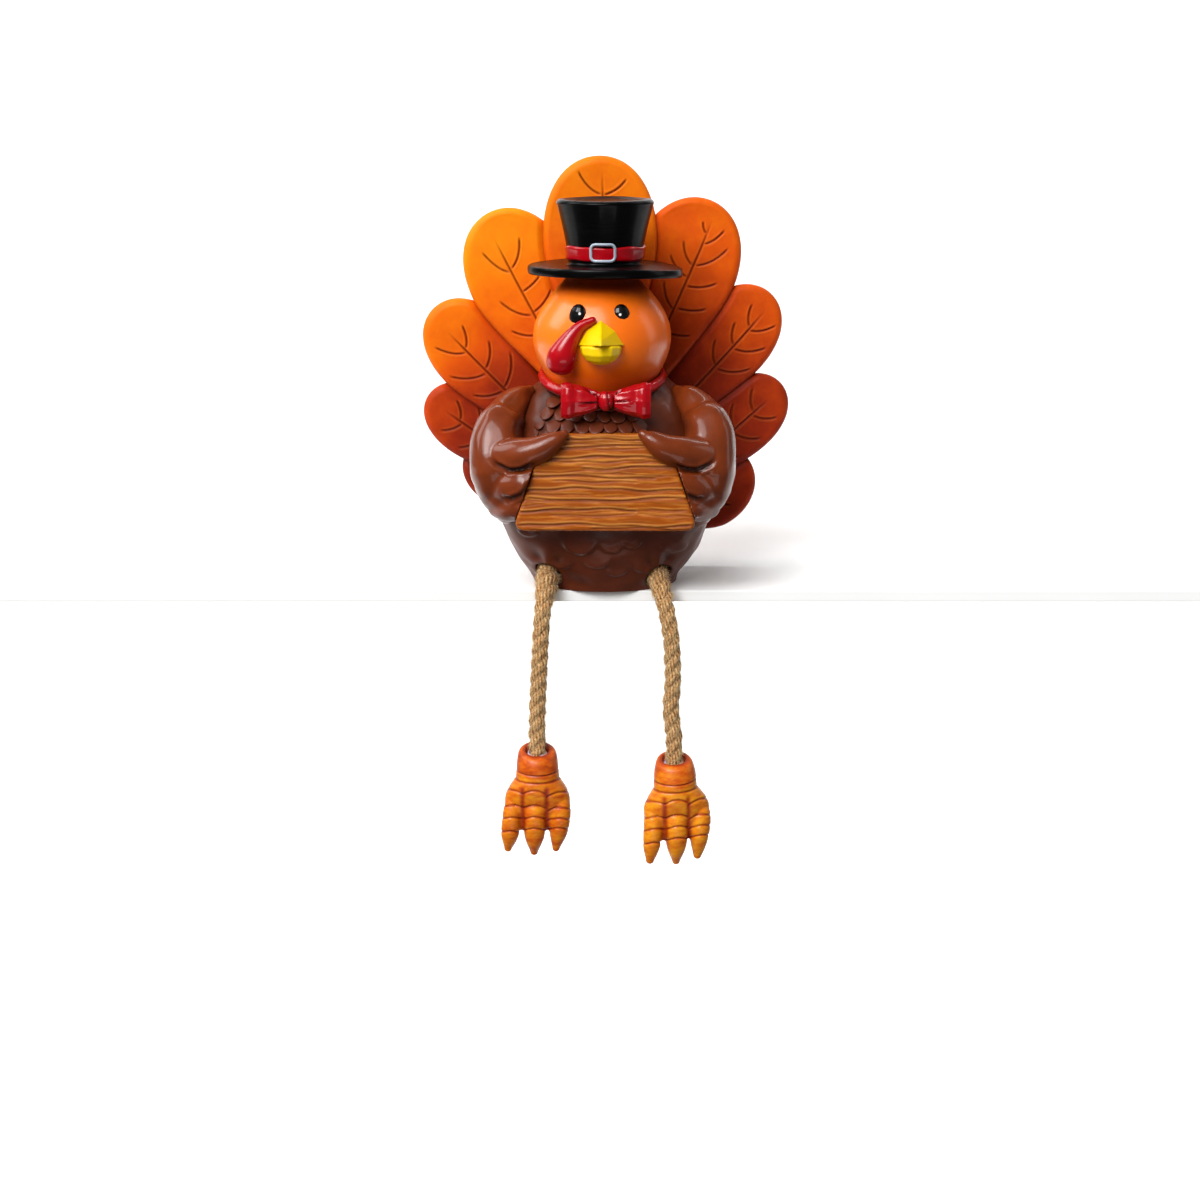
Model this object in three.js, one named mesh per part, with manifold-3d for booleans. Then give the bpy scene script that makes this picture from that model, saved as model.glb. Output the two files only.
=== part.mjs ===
// Thanksgiving turkey figure for a shelf edge. A cast figure sits on its flat base, and two
// rope legs hang in front of the shelf with a loose three-toed foot on each.
// Millimetres, +Z up, +X to the viewer's right, and the figure looks along -Y.
// The origin is the centre of the flat base, where the figure rests on its shelf.
import * as THREE from "three";
import { mergeVertices } from "three/addons/utils/BufferGeometryUtils.js";
import { ConvexGeometry } from "three/addons/geometries/ConvexGeometry.js";
import Module from "manifold-3d";

const wasm = await Module();
wasm.setup();

// Clearance between neighbouring pieces, and how far a cutter runs past what it cuts.
const seam = 0.3;
const overrun = 2;

// Body: an egg with a flat base and a flat back for the tail.
const bodyHeight = 78;
const bodyHalfWidth = 39;
const bodyFrontDepth = 37;
const bodyBackDepth = 31;
const bodyBackPlane = 22;
const baseEdgeRadius = 2;
const bodySides = 28;
// Each row holds shares of the height, of the half width and of the front depth.
const bodyShares = [
  [0.026, 0.672, 0.692],
  [0.103, 0.785, 0.77],
  [0.192, 0.897, 0.854],
  [0.282, 0.969, 0.914],
  [0.397, 1, 0.97],
  [0.513, 1, 1],
  [0.628, 0.985, 0.978],
  [0.731, 0.938, 0.903],
  [0.808, 0.846, 0.805],
  [0.885, 0.68, 0.676],
  [0.949, 0.513, 0.549],
  [1, 0.372, 0.405],
];

// Head: a turned egg whose neck sits in a socket in the body.
const headRadius = 24.2;
const headHeight = 46.8;
const headSink = 16;
const headAcross = -1;
const headDeep = -9;
const headSides = 24;
// Each row holds shares of the height and of the radius.
const headShares = [
  [0, 0.64],
  [0.084, 0.7],
  [0.168, 0.744],
  [0.274, 0.822],
  [0.379, 0.921],
  [0.526, 1],
  [0.653, 0.967],
  [0.779, 0.864],
  [0.884, 0.74],
  [1, 0.6],
];
const headRings = 11;

// Eyes: glossy black domes let into the head, tilted in towards the top.
const eyeHalfWidth = 3.1;
const eyeHalfHeight = 4.1;
const eyeHalfDepth = 2.3;
const eyeSpread = 7.8;
const eyeShift = -0.9;
const eyeHeightShare = 0.748;
const eyeTilt = 10;
const eyeSinkShare = 0.4;

// Beak: a faceted upper half over a rounded lower half.
const beakHalfWidth = 8.8;
const beakRise = 8.8;
const mouthHeightShare = 0.537;
const beakReach = 37;
const beakTipRise = 1.4;
const beakShift = -0.5;
const lowerBeakHalfWidth = 7.2;
const lowerBeakDrop = 6;
const lowerBeakReach = 32.5;
const ridgeReachShare = 0.86;
const ridgeRiseShare = 0.78;
const cheekOutShare = 0.62;
const cheekRiseShare = 0.6;

// Snood: the red wattle that hangs from the root of the beak to the viewer's left.
const snoodRootAcross = -3.3;
const snoodRootShare = 0.988;
const snoodSwing = 11;
const snoodDrop = 14.7;
const snoodRadius = 4.3;
const snoodSides = 10;
// Each row holds shares of the swing, of the drop and of the radius.
const snoodShares = [
  [0, 0, 0.3],
  [0.4, 0.15, 0.43],
  [0.71, 0.45, 0.64],
  [0.92, 0.78, 0.93],
  [0.98, 0.97, 0.97],
];
const snoodProudShare = 0.78;

// Hat: a brimmed top hat with a flared crown, tipped back a little.
const brimRadius = 27;
const brimThickness = 2.9;
const crownFootRadius = 12.9;
const crownTopRadius = 17.1;
const crownFlarePower = 1.5;
const crownSteps = 4;
const crownHeight = 22.2;
const crownDishDepth = 0.8;
const crownEdgeRadius = 0.9;
const brimRoundShare = 0.5;
const hatAcross = 0;
const hatDeep = -8;
const hatTilt = 1.5;
const hatSides = 30;
const bandFoot = 1.4;
const bandHeight = 5.3;
const bandThickness = 0.9;
const buckleWidth = 9.8;
const buckleHeight = 7;
const buckleBar = 1.5;
const buckleThickness = 2.2;
const buckleCornerRadius = 1.4;
const buckleEdgeRadius = 0.35;
const buckleShift = -1;
const buckleLift = 1;

// Bow tie: a knot with two pleated loops, on a band round the neck.
const neckBandRadius = 20.8;
const neckBandStretchShare = 1.07;
const neckBandTube = 1.9;
const neckBandDrop = 3.6;
const neckBandTilt = 12.5;
const knotWidth = 5.2;
const knotHeight = 6.8;
const knotDepth = 6;
const knotDrop = 5.5;
const knotAcross = 0.2;
const loopLength = 12.4;
const loopHalfHeight = 6.3;
const loopHalfDepth = 3.3;
const loopSides = 16;
const pleatCount = 4;
// Each row holds shares of the length, the half height, the half depth and the pleat depth.
const loopShares = [
  [0, 0.52, 0.62, 0.5],
  [0.22, 0.68, 0.88, 1],
  [0.55, 0.88, 1, 0.6],
  [0.86, 1, 0.96, 0.25],
  [1, 0.95, 0.72, 0],
];
const pleatDepthShare = 0.16;

// Sign board: a planked trapezoid, bare, held in front of the belly.
const signTopDrop = 19.8;
const signHeight = 33.4;
const signFootHalfWidth = 31.5;
const signTopHalfWidth = 20.5;
const signThickness = 5;
const signCornerRadius = 3.4;
const signEdgeRadius = 0.9;
const signStandOff = 4.9;
const signLean = 6;

// Wings: an arm that curls round the side of the body to the foot of the board, with a thumb
// over the board's top corner and two fingers that end level with the board's side.
const wingReach = 46.6;
const wingAboveSign = 1.8;
const wingHeight = 44.8;
const wingDepth = 20;
const wingMiddle = -0.6;
const armHalfWidth = 9;
const armHalfDepth = 19;
const armSides = 14;
const fingerSides = 9;
const handStandOff = 8;
const fingerRadius = 6;
// Each row holds shares of the reach, of the wing's depth, of its height, of the arm's half
// width and of its half depth.
const armShares = [
  [0.56, 0.4, 0.94, 0.24, 0.2],
  [0.65, 0.5, 0.88, 0.54, 0.45],
  [0.741, 0.62, 0.753, 0.76, 0.68],
  [0.788, 0.8, 0.621, 0.95, 0.9],
  [0.768, 0.92, 0.443, 1.14, 1],
  [0.755, 0.97, 0.303, 1.16, 0.98],
  [0.745, 1.04, 0.149, 0.92, 0.78],
  [0.72, 1.12, 0.05, 0.56, 0.42],
];
// Each row holds shares of the reach, the hand's depth, the wing's height and the radius.
const thumbShares = [
  [0.755, 0.7, 0.5, 1.07],
  [0.606, 0.815, 0.538, 0.96],
  [0.461, 0.87, 0.585, 0.8],
  [0.346, 0.892, 0.654, 0.54],
  [0.286, 0.888, 0.698, 0.26],
];
const middleFingerShares = [
  [0.803, 0.62, 0.24, 0.86],
  [0.698, 0.74, 0.27, 0.98],
  [0.594, 0.82, 0.3, 0.98],
  [0.49, 0.86, 0.334, 0.8],
];
const lowFingerShares = [
  [0.776, 0.6, 0.091, 0.72],
  [0.7, 0.71, 0.095, 0.76],
  [0.624, 0.8, 0.118, 0.72],
  [0.57, 0.84, 0.14, 0.56],
];

// Tail: nine feathers in a fan round the rump, each layer behind the one before.
const tailHeight = 149;
const tailHalfWidth = 67.3;
const featherRadius = 20.9;
const featherThickness = 5;
const featherStep = 0.8;
const veinHalfWidth = 0.55;
const veinDepth = 0.8;
const veinLiftShare = 0.5;
const rumpHalfWidth = 17;
const rumpHalfHeight = 30;
const rumpDepth = 15;
const rumpHeight = 33;
// The top feather, then the left and the right one of each pair downwards. Each row holds where
// the tip's round centre lies, in shares of the half width and of the height, the tip's radius,
// where the root meets the rump's middle line in shares of the height, how much of the way to
// it the feather reaches, and the width below the tip.
const featherPlaceShares = [
  [-0.028, 0.86, 1, 0.27, 1, 0.99],
  [-0.499, 0.755, 0.876, 0.303, 1, 1.05],
  [0.467, 0.782, 0.861, 0.268, 1, 1.08],
  [-0.774, 0.564, 0.694, 0.192, 1, 1.08],
  [0.752, 0.601, 0.67, 0.202, 1, 1.1],
  [-0.817, 0.378, 0.55, 0.115, 1, 1.1],
  [0.822, 0.397, 0.574, 0.056, 1, 1.12],
  [-0.617, 0.242, 0.526, 0.061, 0.84, 1.1],
  [0.61, 0.205, 0.694, 0.058, 0.9, 1.08],
];
const featherColours = [
  0xf08a1a, 0xee8316, 0xd9621a, 0xe67a18, 0xc9521a, 0xc2541a, 0xa8441a, 0x9c3f18, 0x8c3416,
];
// The leaf outline as shares of the tip's radius across and of the length down.
const rootShare = 0.1;
const leafWaistShares = [0.2, 0.68];
const leafSwellShare = 0.3;
const leafShoulderShare = 0.1;
const tipSideShare = 0.45;
const tipTopShare = 0.58;
const leafSideSteps = 6;
const leafTipSteps = 5;
const leafCentreShare = 0.2;
// Each row holds a ring's share of the outline and its depth as a share of the thickness.
const pillowShares = [
  [0.8, 0.05],
  [0.96, 0.28],
  [1, 0.56],
  [0.97, 0.88],
  [0.87, 1],
];
// Where each pair of side veins leaves the midvein, in shares of the feather's length.
const veinStartShares = [0.02, 0.2, 0.38];
const veinSpreadShare = 0.6;
const veinRiseShare = 0.42;
const midveinTopShare = 0.45;
const midveinFootShare = 0.56;

// Ropes: jute cord, glued into sockets in the body and in the feet.
const ropeDiameter = 5.8;
const ropeSocketClearance = 0.4;
const ropeSides = 10;
const ropeSteps = 8;
const leftUpperRoute = [
  [-20.0, -14.2, 8.1],
  [-20.0, -17.6, 6.7],
  [-20.0, -21.0, 5.3],
  [-20.4, -25.0, 3.0],
  [-21.1, -28.4, -0.6],
  [-21.7, -30.5, -5.2],
  [-22.2, -31.3, -10.4],
  [-22.6, -31.5, -16.2],
  [-22.9, -31.5, -22.0],
];
const leftLowerRoute = [
  [-22.9, -31.5, -22.3],
  [-23.2, -31.5, -28.1],
  [-23.5, -31.5, -34.0],
  [-23.8, -31.5, -40.0],
  [-23.9, -31.5, -46.0],
  [-23.9, -31.5, -52.0],
  [-23.9, -31.5, -57.5],
  [-23.9, -31.5, -63.0],
];
const rightUpperRoute = [
  [18.6, -14.2, 8.1],
  [18.6, -17.6, 6.7],
  [18.6, -21.0, 5.3],
  [19.2, -25.0, 3.0],
  [20.2, -28.4, -0.6],
  [21.3, -30.5, -5.2],
  [22.3, -31.3, -10.4],
  [23.1, -31.5, -16.2],
  [23.5, -31.5, -22.0],
];
const rightLowerRoute = [
  [23.5, -31.5, -22.3],
  [23.7, -31.5, -28.1],
  [23.5, -31.5, -34.0],
  [23.0, -31.5, -39.6],
  [23.5, -31.5, -45.0],
  [24.2, -31.5, -50.4],
  [24.2, -31.5, -56.0],
  [24.4, -31.5, -61.2],
  [24.7, -31.5, -66.4],
];

// Feet: a collar for the rope, a broad instep and three ringed toes that point down.
const footHoleDepth = 9;
const footHalfWidth = 12.3;
const footHalfDepth = 7.6;
const footLength = 39.6;
const toeRadius = 4.1;
const toeRingDepth = 0.55;
const toeRingHalfWidth = 0.5;
const glueRadius = 4.3;
const glueHeight = 3.2;
const footSides = 16;
const toeSides = 8;
const footTurns = [0, 8];
// Each row holds shares of the foot's length downwards, of its half width sideways, of its
// half width and of its half depth.
const instepShares = [
  [0.0, 0, 0.55, 0.88],
  [0.03, 0, 0.63, 1],
  [0.12, 0, 0.634, 1.02],
  [0.15, 0, 0.585, 0.94],
  [0.18, 0, 0.645, 1.02],
  [0.26, 0, 0.65, 0.98],
  [0.3, 0, 0.72, 0.99],
  [0.38, 0, 0.88, 0.98],
  [0.47, 0, 1, 0.86],
  [0.58, -0.01, 0.97, 0.66],
  [0.7, -0.03, 0.84, 0.46],
  [0.77, -0.05, 0.68, 0.26],
];
// Each toe's rows hold shares of the half width sideways, of the foot's length downwards, of
// its half depth forwards and of the toe's radius.
const toeShares = [
  [
    [-0.7, 0.38, -0.2, 0.84],
    [-0.735, 0.6, -0.22, 0.83],
    [-0.8, 0.8, -0.14, 0.75],
    [-0.87, 0.93, -0.04, 0.3],
  ],
  [
    [-0.09, 0.38, -0.34, 1],
    [-0.1, 0.6, -0.34, 1],
    [-0.11, 0.82, -0.22, 0.88],
    [-0.12, 0.98, -0.06, 0.3],
  ],
  [
    [0.62, 0.38, -0.2, 1],
    [0.67, 0.58, -0.22, 0.95],
    [0.62, 0.78, -0.14, 0.76],
    [0.57, 0.94, -0.04, 0.3],
  ],
];
const toeRingPlaces = [0.34, 0.56, 0.78];

// Colours as hexadecimal sRGB.
const bodyColour = 0x6b3a28;
const headColour = 0xe8761a;
const wingColour = 0x7a432c;
const beakColour = 0xf2d200;
const redColour = 0xb00e1e;
const hatColour = 0x0c0c0e;
const buckleColour = 0xa9b2ba;
const eyeColour = 0x060608;
const signColour = 0xa8662a;
const ropeColour = 0xb9935a;
const footColour = 0xe08a1c;
const glueColour = 0xd8d2de;

const degrees = THREE.MathUtils.degToRad;
const point = (x, y, z) => new THREE.Vector3(x, y, z);
const unitY = point(0, 1, 0);
const unitZ = point(0, 0, 1);
const sideName = (side) => (side < 0 ? "left" : "right");

// A solid from a list of points and triangles, turned the right way round.
function solidOf(points, faces) {
  const volume = faces.reduce((sum, [a, b, c]) => {
    return sum + points[a].dot(points[b].clone().cross(points[c]));
  }, 0);
  const outward = volume < 0 ? faces.map(([a, b, c]) => [a, c, b]) : faces;
  const vertProperties = new Float32Array(points.flatMap((p) => [p.x, p.y, p.z]));
  const triVerts = new Uint32Array(outward.flat());
  return new wasm.Manifold(new wasm.Mesh({ numProp: 3, vertProperties, triVerts }));
}

// A solid from a closed three.js geometry.
function solidFrom(geometry) {
  const bare = geometry.clone();
  bare.deleteAttribute("normal");
  bare.deleteAttribute("uv");
  const merged = mergeVertices(bare);
  const place = merged.getAttribute("position");
  const points = [];
  for (let i = 0; i < place.count; i += 1) {
    points.push(new THREE.Vector3().fromBufferAttribute(place, i));
  }
  const index = merged.getIndex().array;
  const faces = [];
  for (let i = 0; i < index.length; i += 3) {
    const face = [index[i], index[i + 1], index[i + 2]];
    if (new Set(face).size === 3) faces.push(face);
  }
  return solidOf(points, faces);
}

function geometryOf(solid) {
  const mesh = solid.getMesh();
  const geometry = new THREE.BufferGeometry();
  const places = new THREE.BufferAttribute(mesh.vertProperties, mesh.numProp);
  geometry.setAttribute("position", places);
  geometry.setIndex(new THREE.BufferAttribute(mesh.triVerts, 1));
  geometry.computeVertexNormals();
  return geometry;
}

// A closed body through a row of rings with as many points each.
function loft(rings) {
  const count = rings[0].length;
  const points = rings.flat();
  const faces = [];
  for (let i = 0; i + 1 < rings.length; i += 1) {
    for (let j = 0; j < count; j += 1) {
      const a = i * count + j;
      const b = i * count + ((j + 1) % count);
      faces.push([a, b, b + count], [a, b + count, a + count]);
    }
  }
  const middle = (ring) => {
    const sum = ring.reduce((total, p) => total.add(p), new THREE.Vector3());
    return sum.divideScalar(count);
  };
  points.push(middle(rings[0]), middle(rings[rings.length - 1]));
  const last = (rings.length - 1) * count;
  for (let j = 0; j < count; j += 1) {
    const next = (j + 1) % count;
    faces.push([points.length - 2, next, j]);
    faces.push([points.length - 1, last + j, last + next]);
  }
  return solidOf(points, faces);
}

// A swelling limb along a smooth path, with rounded ends. Sizes are pairs of half sizes, the
// second along the given deep direction; pinch narrows the limb at a place along it, and a
// blunt limb starts square, inside the piece that it grows out of.
function limb({ path, sizes, stops, sides, deep, pinch = () => 0, blunt = false }) {
  const line = new THREE.CatmullRomCurve3(path);
  const girth = new THREE.SplineCurve(sizes.map(([a, b]) => new THREE.Vector2(a, b)));
  const ring = (t, scale, shift) => {
    const centre = line.getPoint(t);
    const along = line.getTangent(t);
    const size = girth.getPoint(t);
    const narrow = pinch(t);
    const second = deep.clone().addScaledVector(along, -deep.dot(along)).normalize();
    const first = along.clone().cross(second);
    centre.addScaledVector(along, shift * Math.min(size.x, size.y));
    return Array.from({ length: sides }, (_, j) => {
      const angle = (2 * Math.PI * j) / sides;
      const a = (size.x - narrow) * scale * Math.cos(angle);
      const b = (size.y - narrow) * scale * Math.sin(angle);
      return centre.clone().addScaledVector(first, a).addScaledVector(second, b);
    });
  };
  const roundShares = [
    [0.45, 0.85],
    [0.8, 0.55],
  ];
  const start = blunt ? [] : roundShares.map(([scale, shift]) => ring(0, scale, -shift));
  const end = roundShares.map(([scale, shift]) => ring(1, scale, shift)).reverse();
  return loft([...start, ...stops.map((t) => ring(t, 1, 0)), ...end]);
}

const evenStops = (count) => Array.from({ length: count }, (_, i) => i / (count - 1));

function boxSolid(width, depth, height, centre) {
  const box = new THREE.BoxGeometry(width, depth, height);
  return solidFrom(box.translate(centre.x, centre.y, centre.z));
}

// A solid moved from the frame of one group into the frame of another.
function moved(solid, from, to) {
  from.updateWorldMatrix(true, false);
  to.updateWorldMatrix(true, false);
  const matrix = to.matrixWorld.clone().invert().multiply(from.matrixWorld);
  return solid.transform(matrix.elements);
}

function cutBy(solid, cutters) {
  return cutters.reduce((left, cutter) => left.subtract(cutter), solid);
}

const figure = new THREE.Group();

function frameAt(parent, position) {
  const frame = new THREE.Group();
  frame.position.copy(position);
  parent.add(frame);
  return frame;
}

function addPiece(name, solid, frame, color, roughness, metalness = 0) {
  const material = new THREE.MeshStandardMaterial({ color, roughness, metalness });
  const piece = new THREE.Mesh(geometryOf(solid), material);
  piece.name = name;
  frame.add(piece);
  return piece;
}

// Body

function bodyRing(halfWidth, front, back, z) {
  return Array.from({ length: bodySides }, (_, j) => {
    const angle = (2 * Math.PI * j) / bodySides;
    const y = Math.sin(angle) * (Math.sin(angle) < 0 ? front : back);
    return point(halfWidth * Math.cos(angle), y, z);
  });
}

function bodyEgg(grow) {
  const [, firstWidth, firstFront] = bodyShares[0];
  const edge = [0, 1].map((step) => {
    const angle = degrees(45 * step);
    const inset = baseEdgeRadius * (1 - Math.sin(angle)) - grow;
    return bodyRing(
      bodyHalfWidth * firstWidth - inset,
      bodyFrontDepth * firstFront - inset,
      bodyBackDepth * firstWidth - inset,
      baseEdgeRadius * (1 - Math.cos(angle)) - grow,
    );
  });
  const rest = bodyShares.map(([up, wide, front]) =>
    bodyRing(
      bodyHalfWidth * wide + grow,
      bodyFrontDepth * front + grow,
      bodyBackDepth * wide + grow,
      bodyHeight * up + (up === 1 ? grow : 0),
    ),
  );
  return loft([...edge, ...rest]);
}

const behindBody = boxSolid(
  2 * (bodyHalfWidth + overrun),
  bodyBackDepth,
  2 * bodyHeight,
  point(0, bodyBackPlane + bodyBackDepth / 2, bodyHeight / 2),
);

// Head, eyes, beak and snood

const headFoot = bodyHeight - headSink;
const eyeHeight = headFoot + headHeight * eyeHeightShare;
const mouthHeight = headFoot + headHeight * mouthHeightShare;
const snoodRootHeight = mouthHeight + beakRise * snoodRootShare;

const headFrame = frameAt(figure, point(headAcross, headDeep, 0));

const headProfile = new THREE.SplineCurve(
  headShares.map(([up, out]) => new THREE.Vector2(headRadius * out, headFoot + headHeight * up)),
).getPoints(headRings);

function headRadiusAt(z) {
  const above = headProfile.findIndex((p) => p.y >= z);
  const [low, high] = [headProfile[above - 1], headProfile[above]];
  return THREE.MathUtils.mapLinear(z, low.y, high.y, low.x, high.x);
}

function headSolid(grow) {
  const outline = headProfile.map((p) => new THREE.Vector2(p.x + grow, p.y));
  outline[0].y -= grow;
  outline[outline.length - 1].y += grow;
  const foot = new THREE.Vector2(0, outline[0].y);
  const top = new THREE.Vector2(0, outline[outline.length - 1].y);
  const turned = new THREE.LatheGeometry([foot, ...outline, top], headSides);
  return solidFrom(turned.rotateX(degrees(90)));
}

const grownHead = headSolid(seam);

function eyeFrame(side) {
  const out = headRadiusAt(eyeHeight);
  const deep = -Math.sqrt(out ** 2 - eyeSpread ** 2);
  const frame = frameAt(headFrame, point(eyeShift + side * eyeSpread, deep, eyeHeight));
  frame.rotation.set(0, degrees(-side * eyeTilt), Math.atan2(side * eyeSpread, -deep), "ZYX");
  return frame;
}

function eyeSolid(grow) {
  const ball = new THREE.SphereGeometry(1, 12, 8);
  ball.rotateX(degrees(90));
  ball.scale(eyeHalfWidth + grow, eyeHalfDepth + grow, eyeHalfHeight + grow);
  return solidFrom(ball.translate(0, eyeHalfDepth * eyeSinkShare, 0));
}

const eyeFrames = [eyeFrame(-1), eyeFrame(1)];
const eyeSockets = eyeFrames.map((frame) => moved(eyeSolid(seam), frame, headFrame));

function upperBeak() {
  const root = headRadiusAt(mouthHeight) - overrun;
  const brow = mouthHeight + beakRise;
  const browDeep = -headRadiusAt(brow);
  const ridge = point(
    beakShift,
    THREE.MathUtils.lerp(-beakReach, browDeep, 1 - ridgeReachShare),
    mouthHeight + beakRise * (1 - ridgeRiseShare * ridgeReachShare),
  );
  return new ConvexGeometry([
    point(beakShift, browDeep + overrun, brow),
    point(beakShift, browDeep - seam, brow),
    ...[-beakHalfWidth, beakHalfWidth].flatMap((out) => [
      point(beakShift + out, -root, mouthHeight),
      point(beakShift + out * cheekOutShare, -root, mouthHeight + beakRise * cheekRiseShare),
    ]),
    ridge,
    point(beakShift, -beakReach, mouthHeight + beakTipRise),
  ]);
}

// Everything above the mouth line, which climbs a little towards the beak's tip.
function aboveMouth() {
  const climb = Math.atan2(beakTipRise, beakReach - headRadiusAt(mouthHeight));
  const block = new THREE.BoxGeometry(2 * beakReach, 2 * beakReach, beakReach);
  block.translate(0, 0, beakReach / 2 - seam);
  block.rotateX(-climb);
  const rootDeep = -headRadiusAt(mouthHeight);
  return solidFrom(block.translate(beakShift, rootDeep, mouthHeight));
}

function lowerBeak() {
  const root = headRadiusAt(mouthHeight) - overrun;
  const bowl = new THREE.SphereGeometry(1, 12, 8).rotateX(degrees(90));
  bowl.scale(lowerBeakHalfWidth, lowerBeakReach - root, lowerBeakDrop);
  return solidFrom(bowl.translate(beakShift, -root, mouthHeight));
}

const upperBeakSolid = solidFrom(upperBeak());
const upperBeakClear = solidFrom(
  upperBeak()
    .translate(-beakShift, 0, -mouthHeight)
    .scale(1 + seam / beakHalfWidth, 1 + seam / beakReach, 1 + seam / beakRise)
    .translate(beakShift, 0, mouthHeight),
);

function snoodSolid() {
  const path = snoodShares.map(([swing, drop, girth]) => {
    const x = snoodRootAcross - snoodSwing * swing;
    const z = snoodRootHeight - snoodDrop * drop;
    const out = headRadiusAt(z) + snoodRadius * girth * snoodProudShare;
    return point(x, -Math.sqrt(out ** 2 - x ** 2), z);
  });
  const sizes = snoodShares.map(([, , girth]) => [snoodRadius * girth, snoodRadius * girth]);
  return limb({ path, sizes, stops: evenStops(9), sides: snoodSides, deep: unitY });
}

// Hat

const hatFrame = frameAt(
  headFrame,
  point(hatAcross - headAcross, hatDeep - headDeep, headFoot + headHeight + seam),
);
hatFrame.rotation.x = -degrees(hatTilt);
const hatFoot = seam;
const crownFoot = hatFoot + brimThickness;

// The crown rises almost straight from the brim and flares towards its top.
function crownRadiusAt(z) {
  const share = Math.max(z - crownFoot, 0) / crownHeight;
  return crownFootRadius + (crownTopRadius - crownFootRadius) * share ** crownFlarePower;
}

function turnedSolid(pairs, sides) {
  const outline = pairs.map(([r, z]) => new THREE.Vector2(r, z));
  return solidFrom(new THREE.LatheGeometry(outline, sides).rotateX(degrees(90)));
}

function hatSolid() {
  const edge = brimThickness / 2;
  const top = crownFoot + crownHeight;
  const rim = crownTopRadius - crownEdgeRadius;
  const wall = Array.from({ length: crownSteps }, (_, i) => {
    const z = crownFoot + ((crownHeight - crownEdgeRadius) * i) / (crownSteps - 1);
    return [crownRadiusAt(z), z];
  });
  return turnedSolid(
    [
      [0, hatFoot],
      [brimRadius - edge, hatFoot],
      [brimRadius, hatFoot + edge * brimRoundShare],
      [brimRadius, crownFoot - edge * brimRoundShare],
      [brimRadius - edge, crownFoot],
      ...wall,
      [rim, top],
      [rim - crownEdgeRadius, top - crownDishDepth / 2],
      [0, top - crownDishDepth],
    ],
    hatSides,
  );
}

function bandSolid(inner, outer, taller = 0) {
  const foot = crownFoot + bandFoot - taller;
  const top = foot + bandHeight + 2 * taller;
  const loop = [
    [crownRadiusAt(foot) + inner, foot],
    [crownRadiusAt(foot) + outer, foot],
    [crownRadiusAt(top) + outer, top],
    [crownRadiusAt(top) + inner, top],
    [crownRadiusAt(foot) + inner, foot],
  ];
  return turnedSolid(loop, hatSides);
}

function roundedRectangle(width, height, radius) {
  const [x, y] = [width / 2, height / 2];
  const shape = new THREE.Shape();
  shape.absarc(x - radius, y - radius, radius, 0, degrees(90));
  shape.absarc(radius - x, y - radius, radius, degrees(90), degrees(180));
  shape.absarc(radius - x, radius - y, radius, degrees(180), degrees(270));
  shape.absarc(x - radius, radius - y, radius, degrees(270), degrees(360));
  return shape;
}

function buckleSolid() {
  const shape = roundedRectangle(
    buckleWidth - 2 * buckleEdgeRadius,
    buckleHeight - 2 * buckleEdgeRadius,
    buckleCornerRadius,
  );
  const inner = roundedRectangle(
    buckleWidth - 2 * buckleBar + 2 * buckleEdgeRadius,
    buckleHeight - 2 * buckleBar + 2 * buckleEdgeRadius,
    buckleCornerRadius / 2,
  );
  shape.holes.push(new THREE.Path(inner.getPoints(2)));
  const frame = new THREE.ExtrudeGeometry(shape, {
    depth: buckleThickness - 2 * buckleEdgeRadius,
    bevelThickness: buckleEdgeRadius,
    bevelSize: buckleEdgeRadius,
    bevelSegments: 1,
    curveSegments: 2,
  });
  const middle = crownFoot + bandFoot + bandHeight / 2;
  const front = crownRadiusAt(middle) + bandThickness + seam;
  frame.rotateX(degrees(90));
  return solidFrom(frame.translate(buckleShift, buckleThickness / 2 - front, middle + buckleLift));
}

// Bow tie

const neckBandHeight = bodyHeight - neckBandDrop;

function loopSolid(side) {
  const rings = loopShares.map(([along, tall, thick, pleat]) => {
    return Array.from({ length: loopSides }, (_, j) => {
      const angle = (2 * Math.PI * j) / loopSides;
      const fold = 1 - pleatDepthShare * pleat * (1 - Math.cos(2 * pleatCount * angle)) / 2;
      const y = loopHalfDepth * thick * fold * Math.cos(angle);
      return point(side * loopLength * along, y, loopHalfHeight * tall * Math.sin(angle));
    });
  });
  return loft(rings).translate([side * (knotWidth / 2 + seam), 0, 0]);
}

function knotSolid() {
  const ball = new THREE.SphereGeometry(1, 12, 8).rotateX(degrees(90));
  ball.scale(knotWidth / 2, knotDepth / 2, knotHeight / 2);
  return solidFrom(ball);
}

function neckBandSolid() {
  const ring = new THREE.TorusGeometry(neckBandRadius, neckBandTube, 6, 24);
  ring.scale(1, neckBandStretchShare, 1);
  ring.rotateX(degrees(neckBandTilt));
  return solidFrom(ring.translate(0, 0, neckBandHeight));
}

const neckBandDepth = neckBandRadius * neckBandStretchShare * Math.cos(degrees(neckBandTilt));
const neckBandFront = neckBandDepth + neckBandTube;
const bowFrame = frameAt(
  figure,
  point(knotAcross, headDeep - neckBandFront - seam - knotDepth / 2, neckBandHeight - knotDrop),
);

// Sign board

const signFoot = bodyHeight - signTopDrop - signHeight;
const signFrame = frameAt(figure, point(0, -(bodyFrontDepth + signStandOff), signFoot));
signFrame.rotation.x = degrees(-signLean);

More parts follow.
